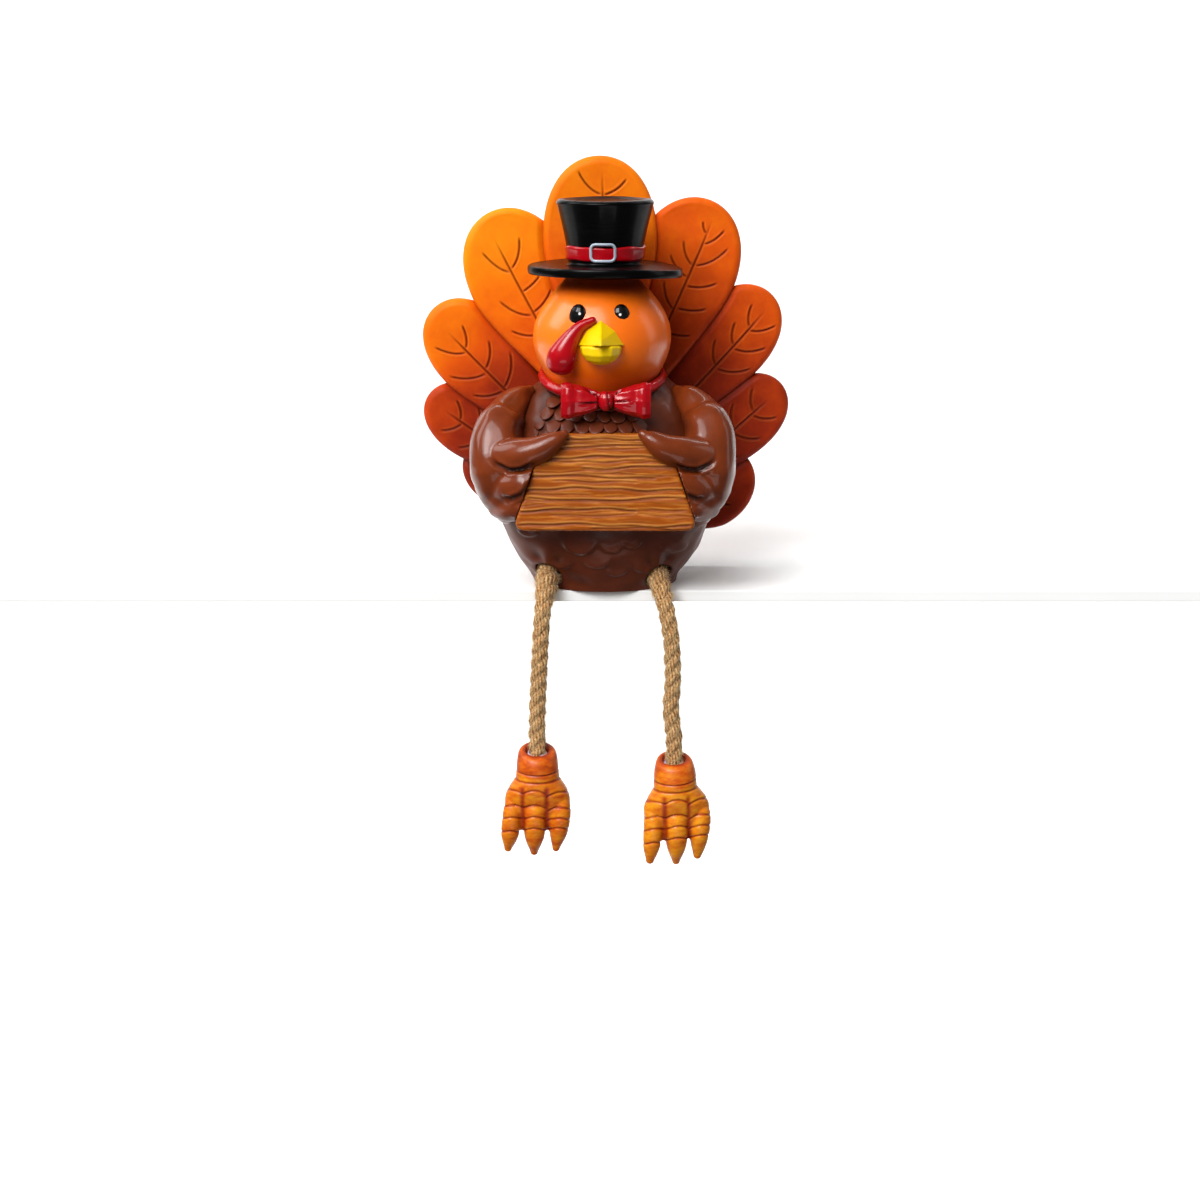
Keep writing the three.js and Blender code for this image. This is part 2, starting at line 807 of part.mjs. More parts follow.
function signOutline(grow) {
  const inset = signEdgeRadius - grow;
  const corners = [
    [signFootHalfWidth - inset, inset],
    [signTopHalfWidth - inset, signHeight - inset],
    [inset - signTopHalfWidth, signHeight - inset],
    [inset - signFootHalfWidth, inset],
  ].map(([x, z]) => new THREE.Vector2(x, z));
  const shape = new THREE.Shape();
  corners.forEach((corner, i) => {
    const before = corners[(i + corners.length - 1) % corners.length];
    const after = corners[(i + 1) % corners.length];
    const enter = before.clone().sub(corner).setLength(signCornerRadius).add(corner);
    const leave = after.clone().sub(corner).setLength(signCornerRadius).add(corner);
    if (i === 0) shape.moveTo(enter.x, enter.y);
    else shape.lineTo(enter.x, enter.y);
    shape.quadraticCurveTo(corner.x, corner.y, leave.x, leave.y);
  });
  shape.closePath();
  return shape;
}

function signSolid(grow) {
  const board = new THREE.ExtrudeGeometry(signOutline(grow), {
    depth: signThickness - 2 * signEdgeRadius + 2 * grow,
    bevelThickness: signEdgeRadius,
    bevelSize: signEdgeRadius,
    bevelSegments: 2,
    curveSegments: 4,
  });
  board.rotateX(degrees(90));
  return solidFrom(board.translate(0, signThickness - signEdgeRadius + grow, 0));
}

// Wings

const wingFoot = signFoot + wingAboveSign;
const handDepth = bodyFrontDepth + handStandOff;

function wingLimb(rows, side, sides, count) {
  const path = rows.map(([out, deep, up]) =>
    point(wingMiddle + side * wingReach * out, -handDepth * deep, wingFoot + wingHeight * up),
  );
  const sizes = rows.map(([, , , girth]) => [fingerRadius * girth, fingerRadius * girth]);
  return limb({ path, sizes, stops: evenStops(count), sides, deep: unitY, blunt: true });
}

// The board's outline carried forward, which ends the fingers level with its sides.
function signPath() {
  const block = new THREE.ExtrudeGeometry(signOutline(signEdgeRadius + seam), {
    depth: handDepth,
    bevelEnabled: false,
    curveSegments: 4,
  });
  block.rotateX(degrees(90));
  return solidFrom(block.translate(0, signThickness + seam, 0));
}

function wingSolid(side, beyondBoard) {
  const path = armShares.map(([out, deep, up]) =>
    point(wingMiddle + side * wingReach * out, -wingDepth * deep, wingFoot + wingHeight * up),
  );
  const sizes = armShares.map(([, , , wide, thick]) => [armHalfWidth * wide, armHalfDepth * thick]);
  const arm = limb({ path, sizes, stops: evenStops(8), sides: armSides, deep: unitY });
  const thumb = wingLimb(thumbShares, side, fingerSides, 5);
  const middle = wingLimb(middleFingerShares, side, fingerSides, 4);
  const low = wingLimb(lowFingerShares, side, fingerSides, 4);
  return arm.add(middle).add(low).subtract(beyondBoard).add(thumb);
}

// Tail

const tailFront = bodyBackPlane + seam;
const featherLayers = Math.ceil(featherPlaceShares.length / 2);
const tailDepth = featherThickness + featherStep * featherLayers;

function leafPoints(radius, length, shoulder, grow) {
  const root = radius * rootShare + grow;
  const wide = radius * shoulder + grow;
  const [waistOut, waistDown] = leafWaistShares;
  const side = new THREE.CubicBezierCurve(
    new THREE.Vector2(root, -length),
    new THREE.Vector2(radius * waistOut + grow, -length * waistDown),
    new THREE.Vector2(wide, -length * leafSwellShare),
    new THREE.Vector2(wide, -length * leafShoulderShare),
  ).getPoints(leafSideSteps);
  const tip = new THREE.CubicBezierCurve(
    new THREE.Vector2(wide, -length * leafShoulderShare),
    new THREE.Vector2(wide, radius * tipSideShare),
    new THREE.Vector2(radius * tipTopShare, radius + grow),
    new THREE.Vector2(0, radius + grow),
  ).getPoints(leafTipSteps);
  const right = [...side, ...tip.slice(1)];
  const left = right.slice(0, -1).map((p) => new THREE.Vector2(-p.x, p.y));
  return [...right, ...left.reverse()];
}

function leafPlate(radius, length, shoulder) {
  const shape = new THREE.Shape(leafPoints(radius, length, shoulder, seam));
  const depth = tailDepth + 2 * overrun;
  const plate = new THREE.ExtrudeGeometry(shape, { depth, bevelEnabled: false });
  return solidFrom(plate.rotateX(degrees(90)).translate(0, tailDepth + overrun, 0));
}

// Everything on the far side of a feather's middle line, seen from a feather behind it.
function beyondMiddle([radius, length], side) {
  const reach = 2 * (radius + length);
  const depth = tailDepth + 2 * overrun;
  return boxSolid(reach, depth, 2 * reach, point((-side * reach) / 2, depth / 2 - overrun, 0));
}

function leafBody(radius, length, shoulder) {
  const outline = leafPoints(radius, length, shoulder, 0);
  const centre = -length * leafCentreShare;
  const rings = pillowShares.map(([scale, depth]) =>
    outline.map((p) =>
      point(p.x * scale, featherThickness * depth, centre + (p.y - centre) * scale),
    ),
  );
  return loft(rings);
}

// A V groove along a line on the front face, which fades out at both ends.
function groove(line) {
  const rings = line.map((p, i) => {
    const before = line[Math.max(i - 1, 0)];
    const after = line[Math.min(i + 1, line.length - 1)];
    const across = after.clone().sub(before).normalize();
    const fade = i === 0 || i === line.length - 1 ? 0 : 1;
    const wide = veinHalfWidth * (1 + overrun / veinDepth);
    const [x, z] = [-across.y * wide, across.x * wide];
    return [
      point(p.x + x, -overrun, p.y + z),
      point(p.x - x, -overrun, p.y - z),
      point(p.x, fade * (veinDepth + overrun) - overrun * veinLiftShare, p.y),
    ];
  });
  return loft(rings);
}

function veinGrooves(radius, length) {
  const top = radius * midveinTopShare;
  const foot = -length * midveinFootShare;
  const mid = groove(
    [foot, foot * (1 - rootShare), top * (1 - rootShare), top].map((z) => new THREE.Vector2(0, z)),
  );
  const sideVeins = veinStartShares.flatMap((share) =>
    [-1, 1].map((side) => {
      const start = new THREE.Vector2(side * (veinHalfWidth + seam), -length * share);
      const rise = new THREE.Vector2(side * veinSpreadShare, veinRiseShare);
      const end = start.clone().addScaledVector(rise, radius * (1 - share));
      const near = start.clone().lerp(end, rootShare);
      const far = start.clone().lerp(end, 1 - rootShare);
      return groove([start, near, far, end]);
    }),
  );
  return [mid, ...sideVeins];
}

function rumpSolid(grow) {
  const ball = new THREE.SphereGeometry(1, 20, 12).rotateX(degrees(90));
  ball.scale(rumpHalfWidth + grow, rumpDepth + grow, rumpHalfHeight + grow);
  return solidFrom(ball.translate(0, tailFront, rumpHeight));
}

const rumpRoom = rumpSolid(seam);

// Each feather leans from its root on the rump's middle line towards its tip. It is cut by the
// feathers in front of it, and ends at the middle line of the one next to it.
function addTail() {
  const made = featherPlaceShares.map(([across, up, round, foot, reach, shoulder], i) => {
    const layer = Math.ceil(i / 2);
    const side = layer === 0 ? 0 : Math.sign(across);
    const name = layer === 0 ? "top_tail_feather" : `${sideName(side)}_tail_feather_${layer}`;
    const tip = point(tailHalfWidth * across, tailFront + featherStep * layer, tailHeight * up);
    const rise = tip.z - tailHeight * foot;
    const frame = frameAt(figure, tip);
    frame.rotation.y = Math.atan2(tip.x, rise);
    const size = [featherRadius * round, reach * Math.hypot(tip.x, rise), shoulder];
    return { name, layer, frame, size, side };
  });
  made.forEach(({ name, layer, frame, size, side }, i) => {
    const inFront = made.slice(0, i).filter((other) => other.side === 0 || other.side === side);
    const cutters = inFront.map((other) => moved(leafPlate(...other.size), other.frame, frame));
    const neighbour = inFront.find((other) => other.layer === layer - 1);
    if (neighbour) cutters.push(moved(beyondMiddle(neighbour.size, side), neighbour.frame, frame));
    const leaf = cutBy(leafBody(...size), veinGrooves(size[0], size[1]));
    const rump = moved(rumpRoom, figure, frame);
    addPiece(name, cutBy(leaf, [...cutters, rump]), frame, featherColours[i], 0.35);
  });
  const beforeRump = boxSolid(
    2 * (rumpHalfWidth + overrun),
    2 * rumpDepth,
    2 * (rumpHalfHeight + overrun),
    point(0, tailFront - rumpDepth, rumpHeight),
  );
  addPiece("tail_rump", rumpSolid(0).subtract(beforeRump), figure, bodyColour, 0.4);
}

// Ropes

function ropeLine(route) {
  return new THREE.CatmullRomCurve3(route.map((place) => point(...place)));
}

function ropeSolid(route) {
  const section = new THREE.Shape(
    Array.from({ length: ropeSides }, (_, j) => {
      const angle = (2 * Math.PI * j) / ropeSides;
      return new THREE.Vector2(Math.cos(angle), Math.sin(angle)).multiplyScalar(ropeDiameter / 2);
    }),
  );
  const extrudePath = ropeLine(route);
  return solidFrom(new THREE.ExtrudeGeometry(section, { extrudePath, steps: ropeSteps }));
}

// The socket in the body: a bore round the rope's first stretch, a seam deeper than its end.
function ropeSocket(route) {
  const [end, , mouth] = route.map((place) => point(...place));
  const out = mouth.clone().sub(end).normalize();
  const radius = ropeDiameter / 2 + ropeSocketClearance;
  const length = end.distanceTo(mouth) + seam + 2 * ropeDiameter;
  const bore = new THREE.CylinderGeometry(radius, radius, length, 16);
  bore.translate(0, length / 2 - seam, 0);
  bore.applyQuaternion(new THREE.Quaternion().setFromUnitVectors(unitY, out));
  return solidFrom(bore.translate(end.x, end.y, end.z));
}

// Feet

function toeSolid(rows) {
  const path = rows.map(([out, down, forward]) =>
    point(footHalfWidth * out, footHalfDepth * forward, -footLength * down),
  );
  const sizes = rows.map(([, , , girth]) => [toeRadius * girth, toeRadius * girth]);
  const span = path[0].distanceTo(path[path.length - 1]);
  const edge = toeRingHalfWidth / span;
  const rings = toeRingPlaces.flatMap((t) => [t - edge, t, t + edge]);
  const pinch = (t) => (toeRingPlaces.includes(t) ? toeRingDepth : 0);
  const stops = [0, ...rings, 1];
  return limb({ path, sizes, stops, sides: toeSides, deep: unitY, pinch, blunt: true });
}

function footSolid() {
  const rings = instepShares.map(([down, out, wide, thick]) =>
    Array.from({ length: footSides }, (_, j) => {
      const angle = (2 * Math.PI * j) / footSides;
      return point(
        footHalfWidth * (out + wide * Math.cos(angle)),
        footHalfDepth * thick * Math.sin(angle),
        -footLength * down,
      );
    }),
  );
  const toes = toeShares.map(toeSolid);
  const foot = toes.reduce((sum, toe) => sum.add(toe), loft(rings));
  const bore = ropeDiameter / 2 + ropeSocketClearance;
  const hole = turnedSolid(
    [
      [0, overrun],
      [glueRadius + seam, overrun],
      [glueRadius + seam, -glueHeight - seam],
      [bore, -glueHeight - seam],
      [bore, -footHoleDepth - seam],
      [0, -footHoleDepth - seam],
    ],
    16,
  );
  return foot.subtract(hole);
}

function glueSolid() {
  const inner = ropeDiameter / 2 + seam;
  return turnedSolid(
    [
      [inner, -glueHeight],
      [glueRadius, -glueHeight],
      [glueRadius, -seam],
      [inner + seam, 0],
      [inner, 0],
      [inner, -glueHeight],
    ],
    16,
  );
}

// The foot hangs in line with the end of its rope, which reaches the floor of the foot's hole.
function addLeg(name, upper, lower, turn) {
  const [before, end] = lower.slice(-2).map((place) => point(...place));
  const up = before.sub(end).normalize();
  const frame = frameAt(figure, end.clone().addScaledVector(up, footHoleDepth));
  frame.quaternion.setFromUnitVectors(unitZ, up);
  frame.rotateZ(degrees(turn));
  addPiece(name + "_upper_rope", ropeSolid(upper), figure, ropeColour, 0.95);
  addPiece(name + "_lower_rope", ropeSolid(lower), figure, ropeColour, 0.95);
  addPiece(name + "_foot", footSolid(), frame, footColour, 0.5);
  addPiece(name + "_foot_glue", glueSolid(), frame, glueColour, 0.3);
}

// Assembly

const upperRoutes = [leftUpperRoute, rightUpperRoute];
const headInFigure = moved(grownHead, headFrame, figure);
const signRoom = moved(signSolid(seam), signFrame, figure);
const sockets = upperRoutes.map(ropeSocket);
const bodySolid = cutBy(bodyEgg(0), [behindBody, headInFigure, signRoom, ...sockets]);
addPiece("body", bodySolid, figure, bodyColour, 0.4);

addPiece("head", cutBy(headSolid(0), eyeSockets), headFrame, headColour, 0.35);
addPiece("left_eye", eyeSolid(0), eyeFrames[0], eyeColour, 0.1);
addPiece("right_eye", eyeSolid(0), eyeFrames[1], eyeColour, 0.1);
const upper = upperBeakSolid.subtract(grownHead);
addPiece("upper_beak", upper, headFrame, beakColour, 0.3);
const lower = cutBy(lowerBeak(), [aboveMouth(), grownHead]);
addPiece("lower_beak", lower, headFrame, beakColour, 0.3);
const snood = cutBy(snoodSolid(), [grownHead, upperBeakClear]);
addPiece("snood", snood, headFrame, redColour, 0.15);

addPiece("top_hat", hatSolid(), hatFrame, hatColour, 0.3);
addPiece("hat_band", bandSolid(seam, seam + bandThickness), hatFrame, redColour, 0.25);
const buckleRoom = bandSolid(-crownFootRadius / 2, seam + bandThickness + seam, buckleHeight / 2);
const buckle = buckleSolid().subtract(buckleRoom);
addPiece("hat_buckle", buckle, hatFrame, buckleColour, 0.35, 0.8);

const grownBody = bodyEgg(seam).subtract(behindBody);
const band = cutBy(neckBandSolid(), [grownHead, moved(grownBody, figure, headFrame)]);
addPiece("neck_band", band, headFrame, redColour, 0.2);
addPiece("bow_knot", knotSolid(), bowFrame, redColour, 0.15);
addPiece("bow_left_loop", loopSolid(-1), bowFrame, redColour, 0.15);
addPiece("bow_right_loop", loopSolid(1), bowFrame, redColour, 0.15);

addPiece("sign_board", signSolid(0), signFrame, signColour, 0.5);
const beyondBoard = moved(signPath(), signFrame, figure);
[-1, 1].forEach((side) => {
  const wing = cutBy(wingSolid(side, beyondBoard), [grownBody, signRoom]);
  addPiece(sideName(side) + "_wing", wing, figure, wingColour, 0.3);
});

addTail();

addLeg("left", leftUpperRoute, leftLowerRoute, footTurns[0]);
addLeg("right", rightUpperRoute, rightLowerRoute, footTurns[1]);

export default figure;
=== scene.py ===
"""Shelf-sitting Thanksgiving turkey: painted resin figure with jute rope legs, dressed over its CAD frame."""

import math
from functools import partial

import bmesh
import bpy
import numpy as np
from bpy.props import FloatProperty, FloatVectorProperty, PointerProperty
from mathutils import Matrix, Vector


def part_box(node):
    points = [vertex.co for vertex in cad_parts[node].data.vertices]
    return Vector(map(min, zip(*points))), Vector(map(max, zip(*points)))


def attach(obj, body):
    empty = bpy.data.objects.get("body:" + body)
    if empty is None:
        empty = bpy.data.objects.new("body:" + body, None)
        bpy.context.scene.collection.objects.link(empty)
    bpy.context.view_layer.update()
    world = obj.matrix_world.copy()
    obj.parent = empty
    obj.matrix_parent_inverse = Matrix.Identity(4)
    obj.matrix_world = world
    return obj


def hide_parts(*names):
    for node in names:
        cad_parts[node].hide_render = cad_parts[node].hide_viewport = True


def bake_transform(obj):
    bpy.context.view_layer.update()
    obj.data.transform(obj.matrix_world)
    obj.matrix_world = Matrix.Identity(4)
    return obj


bl_info = {
    "name": "Thanksgiving Turkey Figure",
    "version": (1, 0, 0),
    "blender": (4, 5, 0),
    "location": "3D View > Sidebar > Turkey",
    "description": "Painted shelf-sitting turkey with rope legs, dressed over its CAD frame",
    "category": "Add Mesh",
}

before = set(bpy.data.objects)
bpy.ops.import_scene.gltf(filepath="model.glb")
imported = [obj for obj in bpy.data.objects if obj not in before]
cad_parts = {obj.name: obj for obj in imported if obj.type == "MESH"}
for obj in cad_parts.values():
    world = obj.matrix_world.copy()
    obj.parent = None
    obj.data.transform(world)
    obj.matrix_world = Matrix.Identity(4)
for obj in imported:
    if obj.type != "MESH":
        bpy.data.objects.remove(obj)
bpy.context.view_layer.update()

MM = 0.001
FULL_TURN = 2 * math.pi
SEED = 7


def linear(colour):
    """Linear red, green, blue and alpha of an sRGB colour such as "#A8662A". Linear ones stay."""
    if not isinstance(colour, str):
        return tuple(colour)
    parts = [int(colour[i : i + 2], 16) / 255 for i in (1, 3, 5)]
    return tuple(c / 12.92 if c <= 0.04045 else ((c + 0.055) / 1.055) ** 2.4 for c in parts) + (1.0,)


def length(name, text, value):
    """A size property, given in millimetres and kept in metres."""
    return FloatProperty(name=name, description=text, default=value * MM, min=0, unit="LENGTH", precision=5)


def shade(name, text, value):
    """A colour property, given as sRGB hex."""
    return FloatVectorProperty(
        name=name, description=text, default=linear(value), size=4, subtype="COLOR", min=0, max=1
    )


class FigureSizes(bpy.types.PropertyGroup):
    """Sizes of the fine shapes that the frame doesn't hold."""

    feather_roll: length("Feather edge", "Radius of a tail feather's rolled edge", 2.6)
    vein_depth: length("Vein depth", "How deep a feather's veins are pressed", 0.6)
    vein_width: length("Vein width", "Half the width of a pressed vein", 0.33)
    tuck: length("Feather tuck", "How far a feather dips beside the one in front", 1.0)
    scallop_width: length("Chest feather width", "Width of one small chest feather", 5.6)
    scallop_rise: length("Chest feather rise", "How thick a chest feather is", 1.0)
    rope_pitch: length("Rope pitch", "Length of rope in one full turn of a strand", 15)
    hair_length: length("Fibre length", "Length of a loose jute fibre", 2.6)
    hair_density: FloatProperty(
        name="Fibres", description="Loose fibres on each square millimetre of rope", default=5.0, min=0
    )
    brim_droop: length("Brim droop", "How far the hat brim droops at its right side", 1.7)
    board_groove: length("Board groove", "Depth of the board's grain grooves", 0.5)
    wing_crease: length("Wing crease", "Depth of the creases between the wing's fingers", 1.0)
    toe_groove: length("Toe groove", "Depth of the grooves across the toes", 0.5)


class FigureColours(bpy.types.PropertyGroup):
    """Paint and fibre colours."""

    body: shade("Body", "Brown of the body", "#5E2712")
    wing: shade("Wings", "Lighter brown of the wings", "#76300F")
    head: shade("Head", "Orange of the head", "#E8620A")
    beak: shade("Beak", "Yellow of the beak", "#F0C800")
    red: shade("Red", "Glossy red of bow, snood and hat band", "#AE0010")
    hat: shade("Hat", "Black of the hat", "#020202")
    buckle: shade("Buckle", "Blue-grey of the buckle", "#A9B6C4")
    board: shade("Board", "Golden brown of the sign board", "#984806")
    # The board's grain is darkened with this: dark stain and painted shade.
    board_grain_stain_and_shade: shade("Board grain", "Dark wash in the board's grain", "#4A200A")
    foot: shade("Feet", "Yellow-orange of the feet", "#E08010")
    foot_light: shade("Foot lights", "Yellow rubbed on the feet", "#F2A81C")
    # The foot grooves are darkened with this: red-brown paint and painted shade.
    foot_crease_wash_and_shade: shade("Foot creases", "Red-brown wash in the foot creases", "#7E2206")
    jute: shade("Jute", "Light colour of the jute rope", "#C89258")
    # Darkest jute tone: painted shade between the yarns, and the darkest loose fibres.
    jute_dark_and_shade: shade("Jute shade", "Colour between the jute fibres", "#5E3612")
    glue: shade("Glue", "Pale set glue round the ropes", "#C9BAD0")
    # The feathers' veins are darkened with this: dark paint and painted shade.
    vein: shade("Feather veins", "Dark wash in the feathers' veins", "#5C1804")
    stage: shade("Shelf", "Pale shelf and backdrop", "#F6F6F5")


def sizes():
    """The scene's own values of the sizes."""
    return bpy.context.scene.figure_sizes


def colours():
    """The scene's own values of the colours."""
    return bpy.context.scene.figure_colours


def mm(name):
    """One of the sizes, in millimetres."""
    return getattr(sizes(), name) / MM


# Shape helpers. Points are rows of x, y, z in millimetres until a piece is made.


def ease(t):
    """0 below 0, 1 above 1 and a smooth rise between."""
    t = np.clip(t, 0, 1)
    return t * t * (3 - 2 * t)


def full_turn(count):
    """Angles at even spacing round a full turn."""
    return np.linspace(0, FULL_TURN, count, endpoint=False)


def unit(v):
    """Directions of length 1."""
    return v / np.maximum(np.linalg.norm(v, axis=-1, keepdims=True), 1e-9)


def bump(distance, width):
    """1 at distance 0, falling smoothly to nothing past about twice the width."""
    return np.exp(-((distance / width) ** 2))


def through(table, places):
    """Smooth values at the places, through the rows of a table whose first column is the place."""
    rows = np.array(table, float)
    x, y = rows[:, 0], rows[:, 1:]
    slope = np.gradient(y, x, axis=0)
    i = np.clip(np.searchsorted(x, places, side="right") - 1, 0, len(x) - 2)
    h = x[i + 1] - x[i]
    t = np.clip((places - x[i]) / h, 0, 1)[:, None]
    h = h[:, None]
    return (
        y[i] * (1 + 2 * t) * (1 - t) ** 2
        + slope[i] * h * t * (1 - t) ** 2
        + y[i + 1] * t * t * (3 - 2 * t)
        + slope[i + 1] * h * t * t * (t - 1)
    )


def refine(rows, count):
    """This many smooth rows through rows that stand at even steps."""
    steps = np.arange(len(rows))
    return through(np.column_stack([steps, rows]), np.linspace(0, steps[-1], count))


def curve(points, steps):
    """Points along the Bezier curve with these control points."""
    t = np.linspace(0, 1, steps)[:, None]
    points = [np.array(p, float)[None, :] for p in points]
    while len(points) > 1:
        points = [a * (1 - t) + b * t for a, b in zip(points, points[1:])]
    return points[0]


def distance_along(line):
    """How far each point of a line lies from its start, along it."""
    return np.concatenate([[0], np.cumsum(np.linalg.norm(np.diff(line, axis=0), axis=1))])


def spread(line, spacing):
    """The line's points again, at even spacing."""
    run = distance_along(line)
    places = np.linspace(0, run[-1], max(2, round(run[-1] / spacing) + 1))
    return np.stack([np.interp(places, run, line[:, k]) for k in range(line.shape[1])], 1)


def to_line(points, line):
    """Distance from each point to a line of straight pieces, and the share of the line reached there."""
    line = np.asarray(line, float)
    pieces = np.linalg.norm(np.diff(line, axis=0), axis=1)
    starts = np.concatenate([[0], np.cumsum(pieces)])
    best = np.full(points.shape[:-1], np.inf)
    share = np.zeros(points.shape[:-1])
    for a, b, start, piece in zip(line[:-1], line[1:], starts, pieces):
        d = b - a
        t = np.clip((points - a) @ d / max(d @ d, 1e-9), 0, 1)
        away = np.linalg.norm(points - a - t[..., None] * d, axis=-1)
        nearer = away < best
        best = np.where(nearer, away, best)
        share = np.where(nearer, (start + t * piece) / starts[-1], share)
    return best, share


def pressed(points, line, width, ends=0.16):
    """A line pressed into a surface and the soft lips beside it, both fading at the line's ends."""
    away, share = to_line(points, line)
    fade = ease(share / ends) * ease((1 - share) / ends)
    return bump(away, width) * fade, bump(away - 2.3 * width, 0.8 * width) * fade


def waves(points, scale, seed, count=7):
    """Smooth uneven values from about -1 to 1, whose features are about scale across."""
    dice = np.random.default_rng(seed)
    total = np.zeros(points.shape[:-1])
    for _ in range(count):
        direction = unit(dice.normal(size=points.shape[-1]))
        total += np.sin(points @ direction * (FULL_TURN / scale / dice.uniform(1.2, 3)) + dice.uniform(0, 9))
    return total / math.sqrt(count)


def closed(rings, wrap_rows=False):
    """Points and faces of rings of points, whose rows wrap round as well or else end in caps."""
    rows, columns = rings.shape[:2]
    i = np.arange(rows if wrap_rows else rows - 1)[:, None]
    j = np.arange(columns)[None, :]
    below, above = i * columns, (i + 1) % rows * columns
    right = (j + 1) % columns
    faces = np.stack([below + j, below + right, above + right, above + j], -1).reshape(-1, 4).tolist()
    if not wrap_rows:
        faces += [list(range(columns))[::-1], list(range((rows - 1) * columns, rows * columns))]
    return rings.reshape(-1, 3), faces


def ring_normals(rings):
    """Outward directions on rings of points that run anticlockwise as the rows climb."""
    round_ring = np.roll(rings, -1, 1) - np.roll(rings, 1, 1)
    climb = np.gradient(rings, axis=0)
    return unit(np.cross(round_ring, climb))


def quad_normals(points, faces):
    """Outward directions at the points of a skin of quads."""
    p = points[faces]
    n = np.cross(p[:, 2] - p[:, 0], p[:, 3] - p[:, 1])
    total = np.stack(
        [sum(np.bincount(faces[:, c], n[:, k], len(points)) for c in range(4)) for k in range(3)], 1
    )
    return unit(total)


def relax(points, faces, rounds):
    """Evens out a closed mesh of quads and keeps its volume."""
    start = faces.ravel()
    end = np.roll(faces, -1, 1).ravel()
    count = np.bincount(start, minlength=len(points))
    for turn in range(2 * rounds):
        mean = np.stack([np.bincount(start, points[end, k], len(points)) / count for k in range(3)], 1)
        points = points + (0.5, -0.52)[turn % 2] * (mean - points)
    return points


def put(name, data):
    """A new object at the origin that holds this data."""
    obj = bpy.data.objects.new(name, data)
    bpy.context.scene.collection.objects.link(obj)
    return obj


def result_of(obj):
    """A plain mesh of what an object's modifiers make of it, after which the object goes."""
    mesh = bpy.data.meshes.new_from_object(obj.evaluated_get(bpy.context.evaluated_depsgraph_get()))
    bpy.data.objects.remove(obj)
    return mesh


def voxels(mesh, step):
    """A fine even skin of quads round everything in a mesh, which it uses up."""
    work = put("work", mesh)
    remesh = work.modifiers.new("Remesh", "REMESH")
    remesh.mode = "VOXEL"
    remesh.voxel_size = step * MM
    fine = result_of(work)
    points = np.empty(len(fine.vertices) * 3)
    fine.vertices.foreach_get("co", points)
    faces = np.empty(len(fine.loops), int)
    fine.loops.foreach_get("vertex_index", faces)
    for used in (mesh, fine):
        bpy.data.meshes.remove(used)
    return points.reshape(-1, 3) / MM, faces.reshape(-1, 4)


def clean(mesh, gap, outward=False):
    """Joins a mesh's points that are closer than the gap, and turns its faces out if asked."""
    bm = bmesh.new()
    bm.from_mesh(mesh)
    bmesh.ops.remove_doubles(bm, verts=bm.verts, dist=gap)
    if outward:
        bmesh.ops.recalc_face_normals(bm, faces=bm.faces)
    bm.to_mesh(mesh)
    bm.free()


def skin(node, step, rounds):
    """A fine even skin of a CAD node, with its facets smoothed away."""
    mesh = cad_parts[node].data.copy()
    clean(mesh, 1e-6)
    points, faces = voxels(mesh, step)
    return relax(points, faces, rounds), faces


def box_mm(node):
    """The low and the high corner of a CAD node in millimetres."""
    return [np.array(corner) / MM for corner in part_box(node)]


def fuse(parts, step, rounds):
    """Melts closed shapes that overlap into one smooth skin."""
    points, faces, before = [], [], 0
    for more, quads in parts:
        points.append(more)
        faces += [[before + i for i in face] for face in quads]
        before += len(more)
    mesh = bpy.data.meshes.new("work")
    mesh.from_pydata((np.concatenate(points) * MM).tolist(), [], faces)
    points, faces = voxels(mesh, step)
    return relax(points, faces, rounds), faces


def limb(path, girths, steps=48, sides=36, fullness=1.0):
    """A swelling limb with round ends along a path. Girths are half sizes across and in depth.

    A fullness under 1 makes its section squarer.
    """
    table = refine(np.column_stack([path, girths]), steps)
    line, girth = table[:, :3], table[:, 3:]
    along = unit(np.gradient(line, axis=0))
    deep = unit(np.array([0, 1.0, 0]) - along * along[:, 1:2])
    across = np.cross(along, deep)
    ends = np.linspace(math.pi / 2 - 0.1, 0, 7)[:-1]
    angle = full_turn(sides)
    wide, thick = (
        (np.sign(turn) * np.abs(turn) ** fullness)[:, None] for turn in (np.cos(angle), np.sin(angle))
    )

    def ring(i, scale, shift):
        """One ring of the limb, scaled and shifted along the path for a round end."""
        a = girth[i, 0] * scale * wide * across[i]
        b = girth[i, 1] * scale * thick * deep[i]
        return line[i] + along[i] * shift * girth[i].min() + a + b

    start = [ring(0, math.cos(t), -math.sin(t)) for t in ends]
    end = [ring(-1, math.cos(t), math.sin(t)) for t in ends[::-1]]
    return closed(np.array(start + [ring(i, 1, 0) for i in range(steps)] + end))


def make(name, node, shape, material, marks=None, body="figure"):
    """A finished piece: a closed smooth mesh that stands for its CAD node and rides on its body."""
    points, faces = shape
    mesh = bpy.data.meshes.new(name)
    faces = faces.tolist() if isinstance(faces, np.ndarray) else faces
    mesh.from_pydata((points * MM).tolist(), [], faces)
    for mark, values in (marks or {}).items():
        data = mesh.attributes.new(mark, "FLOAT", "POINT").data
        data.foreach_set("value", values.ravel().astype(np.float32))
    clean(mesh, 1e-7, outward=True)
    mesh.shade_smooth()
    mesh.materials.append(material)
    settle(put(name, mesh), body, node)


def settle(piece, body, node=None):
    """Says which body a piece rides on, which paint slot it fills and which CAD node it stands for."""
    if body:
        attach(piece, body)
    if node:
        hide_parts(node)


def run_tree(guide, tree, values):
    """Runs a node tree on a guide object with its own values, and returns its result as a plain mesh."""
    modifier = guide.modifiers.new("Nodes", "NODES")
    modifier.node_group = tree
    for item in tree.interface.items_tree:
        if item.name in values:
            modifier[item.identifier] = values[item.name]
    mesh = result_of(guide)
    mesh.shade_smooth()
    return mesh


# Material helpers.


